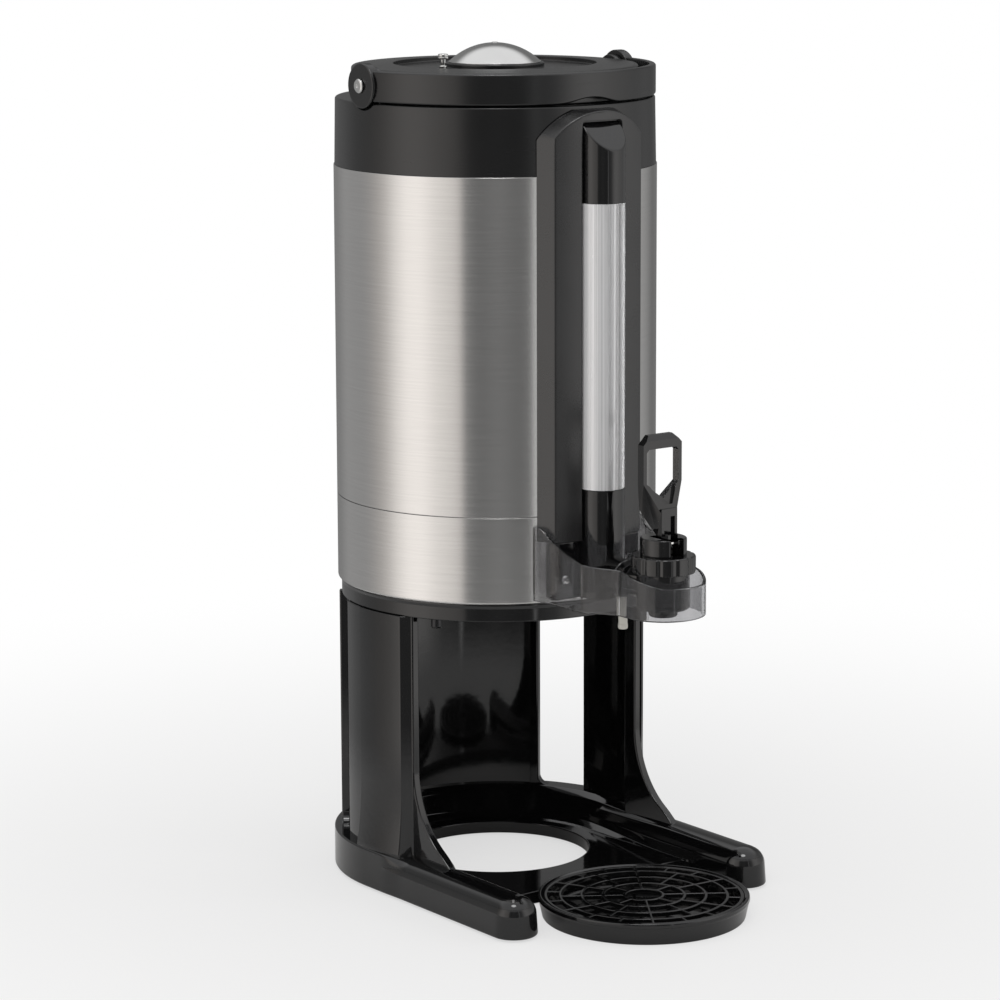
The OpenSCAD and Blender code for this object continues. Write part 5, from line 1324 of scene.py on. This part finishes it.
class DISPENSER_OT_stage(Operator):
    """Sets up the floor, the studio's light and the fitted camera"""
    bl_idname = "dispenser.stage"
    bl_label = "Studio"
    bl_options = {"REGISTER", "UNDO"}

    def floor(self, studio):
        """A wide disc: rings of points that grow outwards. The camera sees mostly a white glow, and
        reflections see the paper only near the object."""
        spokes, rings = 96, 24
        reach = np.geomspace(0.05, 40.0, rings)
        turn = np.linspace(0, 2 * np.pi, spokes, endpoint=False)
        grid = np.stack([np.outer(reach, np.cos(turn)), np.outer(reach, np.sin(turn)),
                         np.zeros((rings, spokes))], -1)
        points, faces = surface(grid, close_columns=True)
        faces.append(list(range(spokes)))
        mesh = bpy.data.meshes.new("pale_floor")
        mesh.from_pydata(points, [], faces)
        disc = bpy.data.objects.new("pale_floor", mesh)
        bpy.context.scene.collection.objects.link(disc)
        material = bpy.data.materials.new("pale_floor_paper")
        material.use_nodes = True
        tree = material.node_tree
        tree.nodes.clear()
        where = make(tree, "ShaderNodeTexCoord", output="Object")
        far = make(tree, "ShaderNodeVectorMath", {"operation": "LENGTH"}, {0: where}, "Value")
        camera = ray(tree, "Camera")
        seen = camera.math("MAXIMUM", camera, ray(tree, "Transmission"))
        grain = make(tree, "ShaderNodeTexNoise", None,
                     {"Vector": where, "Scale": 700.0, "Detail": 2.0})
        tone = blend(tree, grain, shade(studio.floor, 0.97), shade(studio.floor, 1.02))
        matt = make(tree, "ShaderNodeBsdfDiffuse", None, {"Color": tone})
        glow = make(tree, "ShaderNodeEmission", None, {"Color": WHITE, "Strength": 1.0})
        share = seen * (0.62 + far.step(0.15, 1.0) * 0.38)
        mixed = make(tree, "ShaderNodeMixShader", None, {0: share, 1: matt, 2: glow})
        clear = make(tree, "ShaderNodeBsdfTransparent", None, {"Color": WHITE})
        open_far = ray(tree, "Glossy") * far.step(0.3, 0.55)
        mixed = make(tree, "ShaderNodeMixShader", None, {0: open_far, 1: mixed, 2: clear})
        make(tree, "ShaderNodeOutputMaterial", None, {"Surface": mixed})
        mesh.materials.append(material)

    def room(self, studio):
        """The studio as the object sees it: tall softboxes round the sides, an overhead one with a
        small bright lamp in it, a dim room between them and a pale backdrop behind. The camera sees
        white."""
        world = bpy.data.worlds.new("studio_room")
        bpy.context.scene.world = world
        world.use_nodes = True
        tree = world.node_tree
        tree.nodes.clear()
        way = make(tree, "ShaderNodeTexCoord", output="Generated")
        x, y, z = (make(tree, "ShaderNodeSeparateXYZ", None, {0: way}, k) for k in range(3))
        heading = math.radians(36.32)
        right = x * math.cos(heading) - y * math.sin(heading)
        near = x * -math.sin(heading) - y * math.cos(heading)
        turn = x.math("ARCTAN2", right, near) / (2 * math.pi) + 0.5
        # Round the room from behind the object: degrees from the camera, brightness, warmth
        brightest = 1.3
        panels = ((-180, 0.19, 0), (-154, 0.24, 0), (-135, 0.36, 0), (-110, 0.35, 0),
                  (-101, 0.40, 0.5), (-92, 0.52, 1), (-84, 0.70, 1), (-76, 1.0, 1), (-66, 1.26, 1),
                  (-55, 1.28, 1), (-43, 1.03, 1), (-30, 0.86, 1), (-25, 0.72, 1), (-22, 0.24, 0),
                  (-12, 0.17, 0), (2, 0.21, 0), (17, 0.16, 0), (26.3, 0.18, 0),
                  (28.2, brightest, 0), (30.2, 0.26, 0), (44, 0.42, 0), (58, 1.10, 0.4),
                  (68, 1.25, 0.4), (78, 1.15, 0.4), (90, 0.90, 0.4), (118, 0.45, 0),
                  (135, 0.34, 0), (148, 0.18, 0), (180, 0.19, 0))

        def stop(degrees, value, warm):
            """A ramp's stop: its place, and its colour as a share of the brightest."""
            tint = [1 + (channel - 1) * warm for channel in studio.warm_light]
            return degrees / 360 + 0.5, tuple(value / brightest * channel for channel in tint)

        walls = make(tree, "ShaderNodeValToRGB", {"stops": [stop(*panel) for panel in panels]},
                     {0: turn})
        walls = make(tree, "ShaderNodeVectorMath", {"operation": "SCALE"},
                     {0: walls, "Scale": brightest})
        lit = blend(tree, z.step(0.5, 0.75), walls, (0.95, 0.95, 0.96, 1.0))
        lit = blend(tree, (z * -1.0).step(0.45, 0.8), lit, (0.45, 0.45, 0.45, 1.0))
        overhead = (near * 0.26 + z * 0.966).step(0.984, 0.991)
        lit = blend(tree, overhead, lit, (7.0, 7.0, 7.0, 1.0))
        camera = ray(tree, "Camera")
        soft = blend(tree, ray(tree, "Glossy"), (0.62, 0.62, 0.62, 1.0), lit)
        shown = blend(tree, camera.math("MAXIMUM", camera, ray(tree, "Transmission")), soft, WHITE)
        glow = make(tree, "ShaderNodeBackground", None, {"Color": shown, "Strength": 1.0})
        make(tree, "ShaderNodeOutputWorld", None, {"Surface": glow})

    def lamp(self, name, spot, aim, size, power, tint):
        """A square lamp that points at the object and doesn't show in reflections."""
        data = bpy.data.lights.new(name, "AREA")
        data.energy, data.size, data.color = power, size, tint
        back = unit(np.subtract(spot, aim))
        side = unit(np.cross((0.0, 0.0, 1.0), back))
        lamp = put(name, data, [side, np.cross(back, side), back, spot])
        lamp.visible_glossy = False
        lamp.visible_camera = False

    def camera(self, studio):
        """The fitted camera: its view turned by a heading from +Y, tipped down by a pitch, and
        rolled a little about itself."""
        heading, pitch, roll = (math.radians(a) for a in (36.319, 10.64, -0.209))
        spot = (-1.48836, -1.96808, 0.73066)
        flat = np.array([math.sin(heading), math.cos(heading), 0.0])
        rise = np.array([0.0, 0.0, 1.0])
        forward = flat * math.cos(pitch) - rise * math.sin(pitch)
        right = np.array([math.cos(heading), -math.sin(heading), 0.0])
        upward = rise * math.cos(pitch) + flat * math.sin(pitch)
        across = right * math.cos(roll) + upward * math.sin(roll)
        over = upward * math.cos(roll) - right * math.sin(roll)
        data = bpy.data.cameras.new("photo_camera")
        data.lens, data.sensor_width, data.sensor_fit = studio.lens, 36.0, "AUTO"
        data.clip_start, data.clip_end = 0.05, 200.0
        bpy.context.scene.camera = put("photo_camera", data, [across, over, -forward, spot])

    def execute(self, context):
        studio, aim = context.scene.dispenser_studio, (0, 0, 0.3)
        self.camera(studio)
        self.floor(studio)
        self.room(studio)
        self.lamp("key_lamp", (-1.3, -1.2, 1.7), aim, 1.0, studio.key_power, studio.warm_light)
        self.lamp("fill_lamp", (1.5, -1.3, 1.2), aim, 1.1, studio.fill_power, WHITE[:3])
        context.scene.view_settings.view_transform = "Standard"
        return {"FINISHED"}


STEPS = (DISPENSER_OT_stage, DISPENSER_OT_vessel, DISPENSER_OT_collar, DISPENSER_OT_lid,
         DISPENSER_OT_gauge, DISPENSER_OT_tap, DISPENSER_OT_lever, DISPENSER_OT_guard,
         DISPENSER_OT_stand, DISPENSER_OT_tray)
GROUPS = {"dispenser_sizes": DispenserSizes, "dispenser_colours": DispenserColours,
          "dispenser_studio": StudioSettings}


class VIEW3D_PT_dispenser(Panel):
    """Lists the sizes, the colours, the studio's settings and the steps"""
    bl_label = "Drink dispenser"
    bl_space_type = "VIEW_3D"
    bl_region_type = "UI"
    bl_category = "Dispenser"

    def draw(self, context):
        """Shows each group's settings in a box, and a button for each step under them."""
        for title, name in zip(("Sizes", "Colours", "Studio"), GROUPS):
            box = self.layout.box()
            box.label(text=title)
            for key in GROUPS[name].__annotations__:
                box.prop(getattr(context.scene, name), key)
        for step in STEPS:
            self.layout.operator(step.bl_idname)


def register():
    """Registers the classes and hangs the settings on the scene."""
    for kind in (*GROUPS.values(), *STEPS, VIEW3D_PT_dispenser):
        bpy.utils.register_class(kind)
    for name, group in GROUPS.items():
        setattr(bpy.types.Scene, name, PointerProperty(type=group))


def unregister():
    """Takes the settings and the classes away again."""
    for name in GROUPS:
        delattr(bpy.types.Scene, name)
    for kind in reversed((*GROUPS.values(), *STEPS, VIEW3D_PT_dispenser)):
        bpy.utils.unregister_class(kind)


def main():
    """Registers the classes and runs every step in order."""
    register()
    bpy.ops.dispenser.stage()
    bpy.ops.dispenser.vessel()
    bpy.ops.dispenser.collar()
    bpy.ops.dispenser.lid()
    bpy.ops.dispenser.gauge()
    bpy.ops.dispenser.tap()
    bpy.ops.dispenser.lever()
    bpy.ops.dispenser.guard()
    bpy.ops.dispenser.stand()
    bpy.ops.dispenser.tray()


if __name__ == "__main__":
    main()
